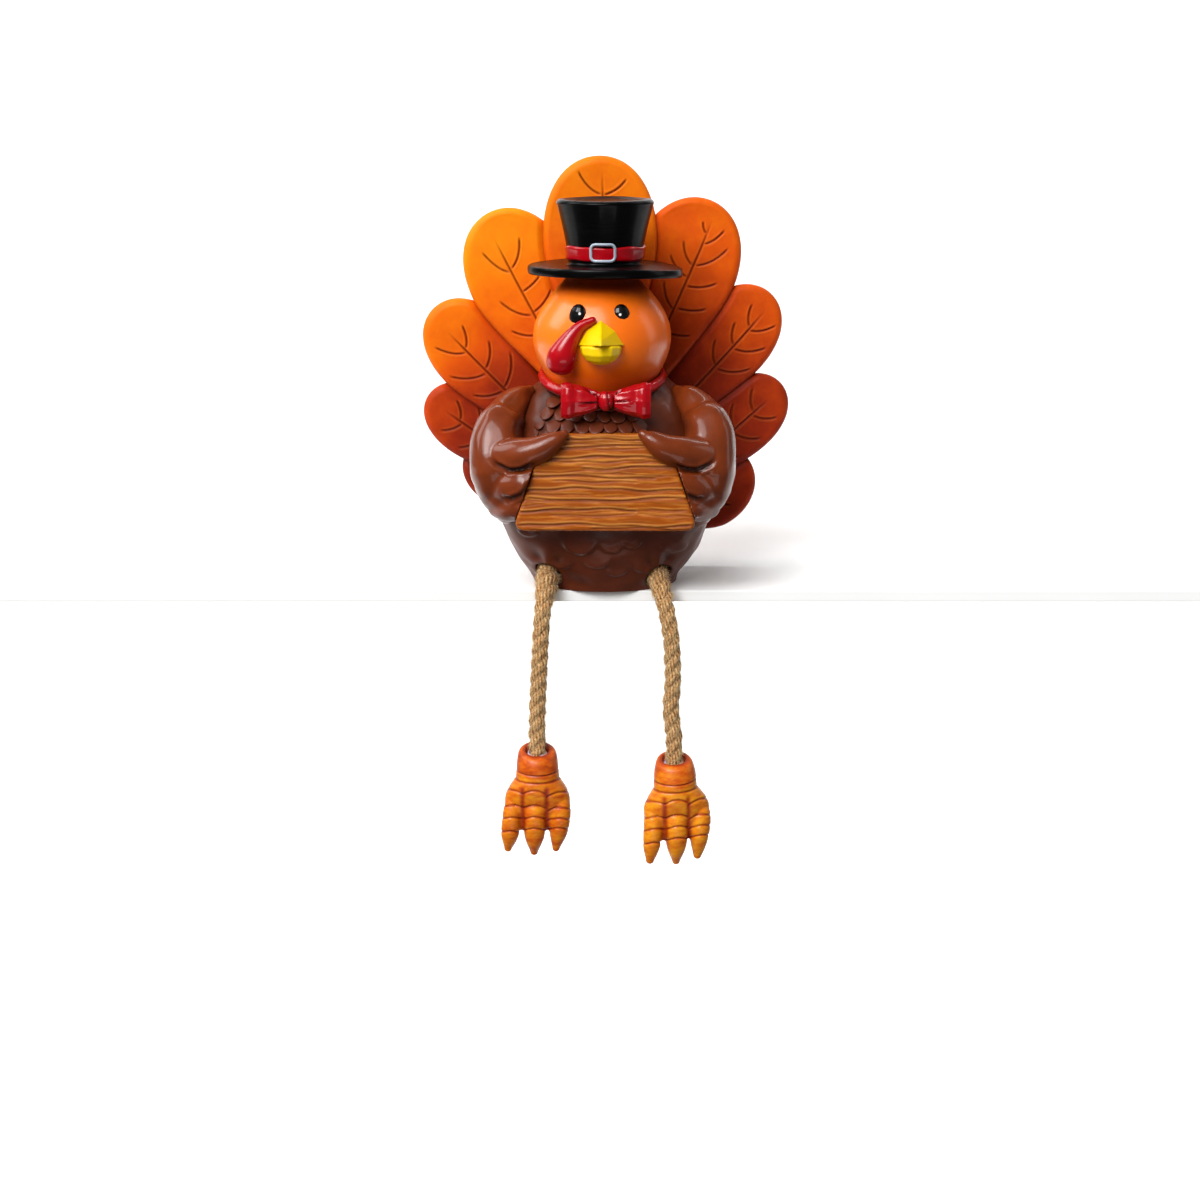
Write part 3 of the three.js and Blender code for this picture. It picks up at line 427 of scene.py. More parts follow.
def add(tree, kind, inputs=None, stops=(), **settings):
    """Adds one node with its settings, and on a colour ramp its stops of place and colour.

    An input is a plain value, a socket or a node, which stands for its first output.
    """
    made = tree.nodes.new(kind)
    for key, value in settings.items():
        setattr(made, key, value)
    for key, value in (inputs or {}).items():
        if isinstance(value, bpy.types.Node):
            value = value.outputs[0]
        if isinstance(value, bpy.types.NodeSocket):
            tree.links.new(value, made.inputs[key])
        else:
            made.inputs[key].default_value = value
    for _ in stops[2:]:
        made.color_ramp.elements.new(0.5)
    for k, (place, colour) in enumerate(stops):
        made.color_ramp.elements[k].position = place
        made.color_ramp.elements[k].color = linear(colour)
    return made


def new_material(name):
    """A new material, what adds a node to it, and its object coordinates."""
    material = bpy.data.materials.new(name)
    material.use_nodes = True
    material.node_tree.nodes.clear()
    node = partial(add, material.node_tree)
    return material, node, node("ShaderNodeTexCoord").outputs["Object"]


def surface(node, colour, relief=None, **values):
    """Ends a material: its shader with its colour, its relief and its own values."""
    inputs = {name.replace("_", " "): value for name, value in values.items()} | {"Base Color": colour}
    if relief is not None:
        inputs["Normal"] = relief
    node("ShaderNodeOutputMaterial", {"Surface": node("ShaderNodeBsdfPrincipled", inputs)})


def per_mm(size):
    """A noise scale whose features are about this many millimetres across."""
    return 1 / (size * MM)


def painted(name, tones, wash_and_shade, gloss, mottle, grit=0.04, grain=0.6, ripe=False, rim="#FFFFFF", brush=0.34,
            stretch=(1, 1, 1)):
    """Hand-painted moulded resin: brushed coat in several tones, dark wash in its hollows.

    Gloss holds roughness, coat, coat roughness and specular level. Mottle is the size of the
    brushed patches in millimetres, which stretch draws out. A ripe finish follows its piece's
    own "ripe" attribute, and brush is how far the patches stray from it.
    """
    material, node, place = new_material(name)
    rough, coat, coat_rough, specular = gloss
    drawn = node("ShaderNodeMapping", {"Vector": place, "Scale": stretch})
    patches = {"Vector": drawn, "Scale": per_mm(mottle), "Detail": 4, "Roughness": 0.6}
    tone = node("ShaderNodeTexNoise", patches)
    mark = {key: node("ShaderNodeAttribute", attribute_name=key).outputs["Fac"] for key in ("hollow", "rim")}
    if ripe:
        age = node("ShaderNodeAttribute", attribute_name="ripe").outputs["Fac"]
        shift = node("ShaderNodeMath", {0: tone, 1: brush, 2: -brush / 2}, operation="MULTIPLY_ADD")
        tone = node("ShaderNodeMath", {0: age, 1: shift}, operation="ADD")
    colour = node("ShaderNodeValToRGB", {"Fac": tone}, tones)
    # Darkens the piece where its "hollow" attribute says: painted shade in creases, holes and gaps, and
    # partly dark paint in grooves. Then lightens it where its "rim" attribute lays a painted highlight.
    for key, over in (("hollow", wash_and_shade), ("rim", rim)):
        inputs = {"Factor": mark[key], "A": colour, "B": linear(over)}
        colour = node("ShaderNodeMix", inputs, data_type="RGBA").outputs["Result"]
    fine = node("ShaderNodeTexNoise", {"Vector": place, "Scale": per_mm(grain), "Detail": 2})
    relief = node("ShaderNodeBump", {"Height": fine, "Strength": 0.35, "Distance": grit * MM})
    surface(node, colour, relief, Roughness=rough, IOR=1.5, Coat_Weight=coat, Coat_Roughness=coat_rough,
            Specular_IOR_Level=specular)
    return material


def two_tones(colour, darker=0.78, low=0.35):
    """The stops of a quiet mottle: a darker form of the colour, and the colour."""
    return ((low, [c * darker for c in linear(colour)[:3]] + [1]), (0.65, colour))


# Stage, camera and light.

CAMERA_PLACE = (-1.8, -881.9, 179.4)
CAMERA_DOWN = math.radians(12)
CAMERA_LENS = 75
CAMERA_SENSOR = 36
# Each board's low corner, high corner and edge radius, in millimetres.
SHELF = ((-500, -22, -4), (500, 320, 0), 0.4)
BACKDROP = ((-1600, 1600, -1400), (1600, 1620, 1400), 2)
# Even light from the front, as soft as a wide diffuser.
SUN_PLACE, SUN_STRENGTH, SUN_SPREAD = (-0.42, -0.8, 0.78), 3.0, math.radians(46)
# Each lamp's place, aim, size in metres and power.
LAMPS = {
    "key_light": ((-0.6, -0.95, 0.92), (0, 0, 0.05), (0.45, 0.55), 7.5),
    "left_light": ((-1.0, 0.05, 0.78), (0, 0, 0.08), (0.55, 0.75), 6.5),
    "low_light": ((0.1, -0.8, -0.5), (0, 0, 0.02), (0.7, 0.25), 0.9),
    "right_light": ((1.0, 0.0, 0.4), (0, 0, 0.05), (0.3, 0.8), 1.1),
    "upper_backdrop_light": ((0, 0.7, 1.2), (0, 1.6, 0.1), (2.4, 0.3), 24),
    "lower_backdrop_light": ((0, 0.7, -1.5), (0, 1.6, -0.5), (2.4, 0.3), 24),
}
WORLD_STRENGTH = 0.14


def stage_surface():
    """Matt pale board: even and without gloss, so the figure's colours lead."""
    material, node, place = new_material("matt_pale_board")
    grain = node("ShaderNodeTexNoise", {"Vector": place, "Scale": per_mm(40), "Detail": 4})
    tone = node("ShaderNodeValToRGB", {"Fac": grain}, two_tones(colours().stage, 0.98))
    surface(node, tone, Roughness=0.8, Specular_IOR_Level=0.2)
    return material


def block(name, low, high, soft, material):
    """A box with softened edges that belongs to the stage."""
    bm = bmesh.new()
    bmesh.ops.create_cube(bm, size=1)
    low, high = np.array(low), np.array(high)
    for v in bm.verts:
        v.co = Vector((low + (high - low) * (np.array(v.co) + 0.5)) * MM)
    bmesh.ops.bevel(bm, geom=bm.edges, offset=soft * MM, segments=4, affect="EDGES", profile=0.5)
    mesh = bpy.data.meshes.new(name)
    bm.to_mesh(mesh)
    bm.free()
    mesh.materials.append(material)
    put(name, mesh)


def lamp(name, place, aim, size, power):
    """A soft square light. Its place, its aim and its size are in metres."""
    light = bpy.data.lights.new(name, "AREA")
    light.shape = "RECTANGLE"
    light.size, light.size_y = size
    light.energy = power
    obj = put(name, light)
    obj.location = place
    obj.rotation_euler = (Vector(aim) - Vector(place)).to_track_quat("-Z", "Y").to_euler()


def make_stage():
    """The photo's camera, a pale shelf and backdrop, and soft studio light."""
    camera = bpy.data.cameras.new("camera")
    camera.lens = CAMERA_LENS
    camera.sensor_width = CAMERA_SENSOR
    eye = put("camera", camera)
    eye.location = Vector(CAMERA_PLACE) * MM
    eye.rotation_euler = (math.pi / 2 - CAMERA_DOWN, 0, 0)
    pale = stage_surface()
    block("shelf", *SHELF, pale)
    block("backdrop", *BACKDROP, pale)
    sun = bpy.data.lights.new("even_light", "SUN")
    sun.energy, sun.angle = SUN_STRENGTH, SUN_SPREAD
    put("even_light", sun).rotation_euler = (-Vector(SUN_PLACE)).to_track_quat("-Z", "Y").to_euler()
    for name, row in LAMPS.items():
        lamp(name, *row)
    world = bpy.data.worlds.new("studio")
    world.use_nodes = True
    air = world.node_tree.nodes["Background"].inputs
    air["Color"].default_value = linear("#FFFFFF")
    air["Strength"].default_value = WORLD_STRENGTH
    scene = bpy.context.scene
    scene.camera = eye
    scene.world = world
    scene.view_settings.view_transform = "Standard"


# Rope legs. Each route repeats the frame's points, in millimetres.

ROPE_WIDTH, STRAND_RADIUS, STRANDS = 5.8, 1.6, 3
LAY_RADIUS = ROPE_WIDTH / 2 - STRAND_RADIUS
# Yarns round a strand, how many pass in each turn of the rope, the height of their ridges, how
# uneven a strand is, the spacing of its rings, and a fibre's radius at its foot and its tip.
YARN_LINES, YARN_TWIST, YARN_RIDGE, ROPE_ROUGH, ROPE_STEP = 7, 9, 0.06, 0.7, 0.22
FIBRE_FOOT, FIBRE_TIP = 0.065, 0.02
# The share of a turn at which each leg's strands start.
START_TURN = {"left": 0.15, "right": 0.6}
ROPE_ROUTES = {
    "left_upper_rope": (
        (-20, -14.2, 8.1), (-20, -17.6, 6.7), (-20, -21, 5.3), (-20.4, -25, 3), (-21.1, -28.4, -0.6),
        (-21.7, -30.5, -5.2), (-22.2, -31.3, -10.4), (-22.6, -31.5, -16.2), (-22.9, -31.5, -22),
    ),
    "left_lower_rope": (
        (-22.9, -31.5, -22.3), (-23.2, -31.5, -28.1), (-23.5, -31.5, -34), (-23.8, -31.5, -40),
        (-23.9, -31.5, -46), (-23.9, -31.5, -52), (-23.9, -31.5, -57.5), (-23.9, -31.5, -63),
    ),
    "right_upper_rope": (
        (18.6, -14.2, 8.1), (18.6, -17.6, 6.7), (18.6, -21, 5.3), (19.2, -25, 3), (20.2, -28.4, -0.6),
        (21.3, -30.5, -5.2), (22.3, -31.3, -10.4), (23.1, -31.5, -16.2), (23.5, -31.5, -22),
    ),
    "right_lower_rope": (
        (23.5, -31.5, -22.3), (23.7, -31.5, -28.1), (23.5, -31.5, -34), (23, -31.5, -39.6),
        (23.5, -31.5, -45), (24.2, -31.5, -50.4), (24.2, -31.5, -56), (24.4, -31.5, -61.2),
        (24.7, -31.5, -66.4),
    ),
}
# How much looser and thicker each upper rope lies where it leaves the body, and how far along.
ROPE_SWELL = {"left_upper_rope": (0.38, 10.5, 6.5), "right_upper_rope": (0.26, 10, 7)}


def jute_fibre():
    """Twisted jute yarn: dry matt bast fibre, golden where it stands out and dark between its yarns."""
    material, node, place = new_material("twisted_jute")
    yarn = node("ShaderNodeAttribute", attribute_name="yarn").outputs["Fac"]
    speck = node("ShaderNodeTexNoise", {"Vector": place, "Scale": per_mm(0.7), "Detail": 3})
    lit = node("ShaderNodeMath", {0: yarn, 1: 0.3, 2: speck}, operation="MULTIPLY_ADD")
    light, dark = colours().jute, colours().jute_dark_and_shade
    middle = [(a + b) / 2 for a, b in zip(light, dark)]
    # The tones run from painted shade between the yarns to a painted highlight on their ridges; on loose
    # fibres they give each fibre its own tone.
    tones = ((0.22, dark), (0.45, middle), (0.62, light), (0.85, "#F0D6A0"))
    tone = node("ShaderNodeValToRGB", {"Fac": lit}, tones)
    relief = node("ShaderNodeBump", {"Height": lit, "Strength": 0.8, "Distance": 0.15 * MM})
    surface(node, tone, relief, Roughness=0.8, Specular_IOR_Level=0.3, Sheen_Weight=0.15, Sheen_Roughness=0.5)
    return material


def new_tree(name, values):
    """A geometry node tree with a named input for each value, what adds a node to it, and its inputs."""
    tree = bpy.data.node_groups.new(name, "GeometryNodeTree")
    tree.is_modifier = True
    for way in ("INPUT", "OUTPUT"):
        tree.interface.new_socket("Geometry", in_out=way, socket_type="NodeSocketGeometry")
    for title, value in values.items():
        kind = "NodeSocketInt" if isinstance(value, int) else "NodeSocketFloat"
        tree.interface.new_socket(title, in_out="INPUT", socket_type=kind).default_value = value
    node = partial(add, tree)
    return tree, node, node("NodeGroupInput").outputs


def close_tree(node, geometry, material):
    """Ends a tree: its instances made real, then its material."""
    real = node("GeometryNodeRealizeInstances", {"Geometry": geometry})
    node("NodeGroupOutput", {
        "Geometry": node("GeometryNodeSetMaterial", {"Geometry": real, "Material": material})
    })


def rope_tree(material):
    """Three strands laid round a curve, ridged with yarns, with loose fibres along them."""
    tree, node, source = new_tree("laid_rope", {
        "Pitch": sizes().rope_pitch, "Strand Radius": STRAND_RADIUS * MM, "Lay Radius": LAY_RADIUS * MM,
        "Start Turn": 0.0, "Fibre Density": sizes().hair_density / MM**2, "Fibre Length": sizes().hair_length,
        "Seed": SEED,
    })
    math_node, keep = "ShaderNodeMath", "GeometryNodeStoreNamedAttribute"
    chance, recall = "FunctionNodeRandomValue", "GeometryNodeInputNamedAttribute"
    path = {"Curve": source["Geometry"], "Length": ROPE_STEP * MM}
    even = node("GeometryNodeResampleCurve", path, mode="LENGTH")
    strands = node("GeometryNodeDuplicateElements", {"Geometry": even, "Amount": STRANDS}, domain="SPLINE")
    run = node("GeometryNodeSplineParameter").outputs["Length"]
    swell = node("GeometryNodeInputRadius")
    turns = node(math_node, {0: run, 1: source["Pitch"]}, operation="DIVIDE")
    phase = node(math_node, {0: strands.outputs["Duplicate Index"], 1: STRANDS}, operation="DIVIDE")
    total = node(math_node, {0: turns, 1: phase}, operation="ADD")
    begun = node(math_node, {0: total, 1: source["Start Turn"]}, operation="ADD")
    angle = node(math_node, {0: begun, 1: FULL_TURN}, operation="MULTIPLY")
    tangent = node("GeometryNodeInputTangent")
    across = node("ShaderNodeVectorMath", {0: tangent, 1: (1, 0, 0)}, operation="CROSS_PRODUCT")
    level = node("ShaderNodeVectorMath", {0: across}, operation="NORMALIZE")
    turn = {"Vector": level, "Axis": tangent, "Angle": angle}
    turned = node("ShaderNodeVectorRotate", turn, rotation_type="AXIS_ANGLE")
    reach = node(math_node, {0: source["Lay Radius"], 1: swell}, operation="MULTIPLY")
    offset = node("ShaderNodeVectorMath", {0: turned, "Scale": reach}, operation="SCALE")
    laid = node("GeometryNodeSetPosition", {"Geometry": strands, "Offset": offset})
    kept = node(keep, {"Geometry": laid, "Name": "run", "Value": turns})
    way = {"Geometry": kept, "Name": "way", "Value": node("GeometryNodeInputTangent")}
    aimed = node(keep, way, data_type="FLOAT_VECTOR")
    ring = node("GeometryNodeCurvePrimitiveCircle", {"Resolution": 26, "Radius": source["Strand Radius"]})
    side = node("GeometryNodeSplineParameter").outputs["Factor"]
    ringed = node(keep, {"Geometry": ring, "Name": "side", "Value": side})
    thick = node("GeometryNodeInputRadius")
    section = {"Curve": aimed, "Profile Curve": ringed, "Scale": thick, "Fill Caps": True}
    tube = node("GeometryNodeCurveToMesh", section)
    side_read, run_read = (node(recall, {"Name": mark}).outputs["Attribute"] for mark in ("side", "run"))
    lines = node(math_node, {0: side_read, 1: YARN_LINES}, operation="MULTIPLY")
    twist = node(math_node, {0: run_read, 1: YARN_TWIST, 2: lines}, operation="MULTIPLY_ADD")
    cycle = node(math_node, {0: twist, 1: FULL_TURN}, operation="MULTIPLY")
    wave = node(math_node, {0: cycle}, operation="SINE")
    # The yarns' wave is kept for painted shade between them and painted highlights on their ridges.
    striped = node(keep, {"Geometry": tube, "Name": "yarn", "Value": wave})
    normal = node("GeometryNodeInputNormal")
    spot = node("GeometryNodeInputPosition")
    rough = node("ShaderNodeTexNoise", {"Vector": spot, "Scale": per_mm(0.9), "Detail": 2})
    spread_out = {0: rough, 1: ROPE_ROUGH * MM, 2: -ROPE_ROUGH / 2 * MM}
    uneven = node(math_node, spread_out, operation="MULTIPLY_ADD")
    ridge = node(math_node, {0: wave, 1: YARN_RIDGE * MM, 2: uneven}, operation="MULTIPLY_ADD")
    lift = node("ShaderNodeVectorMath", {0: normal, "Scale": ridge}, operation="SCALE")
    ridged = node("GeometryNodeSetPosition", {"Geometry": striped, "Offset": lift})
    density = {"Mesh": ridged, "Seed": source["Seed"], "Density": source["Fibre Density"]}
    spots = node("GeometryNodeDistributePointsOnFaces", density)
    hair = node("GeometryNodeMeshCone", {
        "Vertices": 3, "Side Segments": 1, "Radius Bottom": FIBRE_FOOT * MM, "Radius Top": FIBRE_TIP * MM,
        "Depth": source["Fibre Length"],
    })
    way_read = node(recall, {"Name": "way"}, data_type="FLOAT_VECTOR").outputs["Attribute"]
    aligned = node("FunctionNodeAlignRotationToVector", {"Vector": way_read}, axis="Z")
    lean_range = {"Min": (-0.5, -0.5, 0), "Max": (0.5, 0.5, 3), "Seed": source["Seed"]}
    tilt = node(chance, lean_range, data_type="FLOAT_VECTOR")
    leaning = {"Rotation": aligned, "Rotate By": tilt}
    lean = node("FunctionNodeRotateRotation", leaning, rotation_space="LOCAL")
    grow = node(chance, {2: 0.35, 3: 1.0, "Seed": source["Seed"]}).outputs[1]
    fuzz = node("GeometryNodeInstanceOnPoints", {
        "Points": spots, "Instance": hair, "Rotation": lean, "Scale": grow
    })
    # Each loose fibre's own random tone, kept in the same attribute.
    bleach = node(chance, {2: -0.7, 3: 1.9, "Seed": source["Seed"]}).outputs[1]
    lightened = node(keep, {"Geometry": fuzz, "Name": "yarn", "Value": bleach}, domain="INSTANCE")
    both = node("GeometryNodeJoinGeometry", {"Geometry": ridged})
    tree.links.new(lightened.outputs[0], both.inputs[0])
    close_tree(node, both, material)
    return tree


def smooth_route(points):
    """A smooth line through the route's points."""
    run = distance_along(points)
    return through(np.column_stack([run, points]), np.linspace(0, run[-1], 12 * len(points)))


def make_ropes():
    """Lays each leg's two stretches on its route, meeting at the knee, and says how they bend."""
    tree = rope_tree(jute_fibre())
    for name, route in ROPE_ROUTES.items():
        side, stretch, _ = name.split("_")
        upper = stretch == "upper"
        line = smooth_route(route)
        seam = (np.array(ROPE_ROUTES[f"{side}_upper_rope"][-1]) + ROPE_ROUTES[f"{side}_lower_rope"][0]) / 2
        line[-1 if upper else 0] = seam
        run = distance_along(line)
        more, middle, reach = ROPE_SWELL.get(name, (0, 0, 1))
        data = bpy.data.curves.new(name, "CURVE")
        data.dimensions = "3D"
        spline = data.splines.new("POLY")
        spline.points.add(len(line) - 1)
        for point, spot, so_far in zip(spline.points, line, run):
            point.co = (*(spot * MM), 1)
            point.radius = 1 + more * float(bump(so_far - middle, reach))
        # A lower rope's strands go on from the turn at which the upper one's end.
        if upper:
            turn = START_TURN[side]
        mesh = run_tree(put(name + "_guide", data), tree, {"Start Turn": turn, "Seed": SEED + len(name)})
        turn += run[-1] / mm("rope_pitch")
        mesh.name = name + "_jute"
        piece = put(mesh.name, mesh)
        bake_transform(piece)
        settle(piece, None, name)


# Body. Shares are height, width and front depth up the body, as in the frame.

BODY_HALF_WIDTH, BODY_FRONT, BODY_BACK, BODY_HEIGHT, BACK_PLANE = 39.0, 37.0, 31.0, 78.0, 22.0
BODY_SHARES = (
    (0, .655, .672), (.026, .672, .692), (.103, .785, .77), (.192, .897, .854), (.282, .969, .914),
    (.397, 1, .97), (.513, 1, 1), (.628, .985, .978), (.731, .938, .903), (.808, .846, .805),
    (.885, .68, .676), (.949, .513, .549), (1, .372, .405),
)
ROPE_HOLES = [ROPE_ROUTES[side + "_upper_rope"][2] for side in ("left", "right")]
HOLE_WAY = unit(np.array([0, -6.8, -2.8]))
HOLE_RADIUS, HOLE_DEPTH, HOLE_FOLDS = 3.6, 7.5, 6
# Dents of the belly: place across, height, half width and depth.
BELLY_DENTS = (
    (-9, 19, 6.5, 0.6), (2, 18.5, 4.5, 0.45), (9, 19.5, 4, 0.5), (-3, 13, 5, 0.3), (-27, 22, 4, 0.5),
    (24, 17, 5, 0.5), (-15, 11, 3.5, 0.35), (13, 10, 3.5, 0.35), (30, 24, 4, 0.4), (4, 9, 4, 0.25),
)
CHEST_ROWS = (57, 60.4, 63.8, 67.2, 70.6, 73.6)
CHEST_LEFT, CHEST_RIGHT = -25.0, 13.0
# The chest feathers' spacing and length for their width, and how far their tips stand out.
CHEST_SPACING, CHEST_LENGTH, CHEST_LIFT = 0.88, 1.7, 0.28


def body_rings(rows, columns):
    """Rings of points up the body, from its flat base."""
    heights = np.linspace(0, 1, rows)
    wide, front = through(BODY_SHARES, heights).T
    angle = full_turn(columns)
    across = BODY_HALF_WIDTH * wide[:, None] * np.cos(angle)
    deep = np.where(np.sin(angle) < 0, BODY_FRONT * front[:, None], BODY_BACK * wide[:, None]) * np.sin(angle)
    tall = np.repeat(BODY_HEIGHT * heights[:, None], columns, 1)
    return np.stack([across, np.minimum(deep, BACK_PLANE), tall], -1)


def body_front(x, z):
    """The body's front surface at a place across and a height."""
    wide, front = through(BODY_SHARES, np.atleast_1d(z / BODY_HEIGHT))[0]
    return -BODY_FRONT * front * math.sqrt(max(0, 1 - (x / (BODY_HALF_WIDTH * wide)) ** 2))


def brown_resin(name):
    """Satin brown enamel on moulded resin: soft broad highlights, darker in the dents."""
    return painted(name, two_tones(colours().body), "#180703", (0.42, 0.12, 0.2, 0.2), 7)


def make_body():
    """Round body with feather dents, folds over the rope holes and the holes themselves."""
    rings = body_rings(190, 380)
    normal = ring_normals(rings)
    x, z = rings[..., 0], rings[..., 2]
    front = ease(-normal[..., 1] * 2)
    push = 0.4 * waves(rings, 14, SEED) + 0.18 * waves(rings, 5, SEED + 1)
    # Painted shade, gathered below: along the belly dents' lower edges, in the folds and holes of the rope
    # legs, and on the chest under its small feathers.
    dark = np.zeros(x.shape)
    for across, height, wide, deep in BELLY_DENTS:
        reach = np.hypot((x - across) / wide, (z - height) / (0.75 * wide))
        low = ease((height - z + 0.2 * wide) / (0.5 * wide))
        step = (1 - ease((reach - 0.75) / 0.3)) * ease(reach / 0.9)
        edge = bump(reach - 1.1, 0.25) * low
        push += deep * (1.2 * step * low - 0.25 * edge) * front
        dark = np.maximum(dark, 0.1 * edge * front)
    for hole in ROPE_HOLES:
        away = rings - np.array(hole)
        along = away @ HOLE_WAY
        ring = np.linalg.norm(away - along[..., None] * HOLE_WAY, axis=-1)
        near = front * (along > -12)
        turn = np.arctan2(x - hole[0], z - hole[2])
        folds = np.cos(turn * HOLE_FOLDS + 0.6 * waves(rings, 9, SEED + 4)) * ease((15 - ring) / 9)
        folds *= ease((ring - 4.2) / 3) * ease((z - 7) / 5)
        push += 0.75 * folds * near
        dark = np.maximum(dark, 0.5 * np.maximum(-folds, 0) ** 2 * near)
        sunk = near * (1 - ease((ring - HOLE_RADIUS) / 0.9))
        rings = rings - HOLE_DEPTH * sunk[..., None] * HOLE_WAY
        push += 0.45 * bump(ring - 5.4, 1.2) * near
        dark = np.maximum(dark, near * (1 - ease((ring - 3.4) / 1.6)))
    # The chest under its small feathers gets painted shade.
    chest = ease((z - 55) / 3) * ease((x - CHEST_LEFT) / 4) * ease((CHEST_RIGHT - x) / 4) * front
    dark = np.maximum(dark, 0.5 * chest)
    push *= ease(z / 3) * ease((BODY_HEIGHT - z) / 4)
    rings = rings + push[..., None] * normal
    rings[..., 2] = np.maximum(rings[..., 2], 0)
    resin = brown_resin("satin_brown_resin_body")
    make("body_skin", "body", closed(rings), resin, {"hollow": dark})
    make_chest()


def chest_tree(material, values):
    """Small round-tipped feathers that lie on the chest like roof tiles."""
    tree, node, source = new_tree("chest_feathers", values)
    chance, align = "FunctionNodeRandomValue", "FunctionNodeAlignRotationToVector"
    ball = node("GeometryNodeMeshUVSphere", {"Segments": 18, "Rings": 12, "Radius": 0.5})
    box = node("ShaderNodeCombineXYZ", {"X": source["Width"], "Y": source["Length"], "Z": source["Rise"]})
    leaf = node("GeometryNodeTransform", {"Geometry": ball, "Scale": box})
    out, down = (
        node("GeometryNodeInputNamedAttribute", {"Name": mark}, data_type="FLOAT_VECTOR").outputs["Attribute"]
        for mark in ("out", "down")
    )
    faced = node(align, {"Vector": out}, axis="Z")
    hung = node(align, {"Rotation": faced, "Vector": down}, axis="Y", pivot_axis="Z")
    most = (0.05, 0.12, 0.22)
    spin_range = {"Min": [-v for v in most], "Max": most, "Seed": source["Seed"]}
    spin = node(chance, spin_range, data_type="FLOAT_VECTOR")
    lift = node("ShaderNodeCombineXYZ", {"X": source["Lift"]})
    both = node("ShaderNodeVectorMath", {0: spin, 1: lift}, operation="ADD")
    lifted = node("FunctionNodeRotateRotation", {"Rotation": hung, "Rotate By": both}, rotation_space="LOCAL")
    grow = node(chance, {2: 0.9, 3: 1.12, "Seed": source["Seed"]}).outputs[1]
    close_tree(node, node("GeometryNodeInstanceOnPoints", {
        "Points": source["Geometry"], "Instance": leaf, "Rotation": lifted, "Scale": grow
    }), material)
    return tree


def make_chest():
    """Rows of small feathers between the wings, under the bow."""
    width = mm("scallop_width")
    places, outs, downs = [], [], []
    for row, height in enumerate(CHEST_ROWS):
        step = CHEST_SPACING * width
        for x in np.arange(CHEST_LEFT, CHEST_RIGHT, step) + (row % 2) * step / 2:
            spot = np.array([x, body_front(x, height), height])
            if abs(x) > 1.15 * (BODY_HEIGHT + 6 - height):
                continue
            above = np.array([x, body_front(x, height + 1), height + 1])
            beside = np.array([x + 1, body_front(x + 1, height), height])
            outs.append(unit(np.cross(beside - spot, above - spot)))
            downs.append(unit(spot - above))
            places.append(spot - 0.1 * outs[-1])
    mesh = bpy.data.meshes.new("chest_places")
    mesh.from_pydata((np.array(places) * MM).tolist(), [], [])
    for mark, values in (("out", outs), ("down", downs)):
        data = mesh.attributes.new(mark, "FLOAT_VECTOR", "POINT").data
        data.foreach_set("vector", np.array(values, np.float32).ravel())
    values = {
        "Width": width * MM, "Length": CHEST_LENGTH * width * MM, "Rise": sizes().scallop_rise,
        "Lift": CHEST_LIFT, "Seed": SEED,
    }
    tree = chest_tree(brown_resin("satin_brown_resin_chest"), values)
    feathers = run_tree(put("chest_guide", mesh), tree, values)
    settle(put("chest_feathers", feathers), "figure")


# Tail feathers.

TAIL_HALF_WIDTH, TAIL_HEIGHT, TAIL_FRONT = 67.3, 149.0, 22.3
FEATHER_RADIUS, FEATHER_THICK, FEATHER_STEP = 20.9, 5.0, 0.8
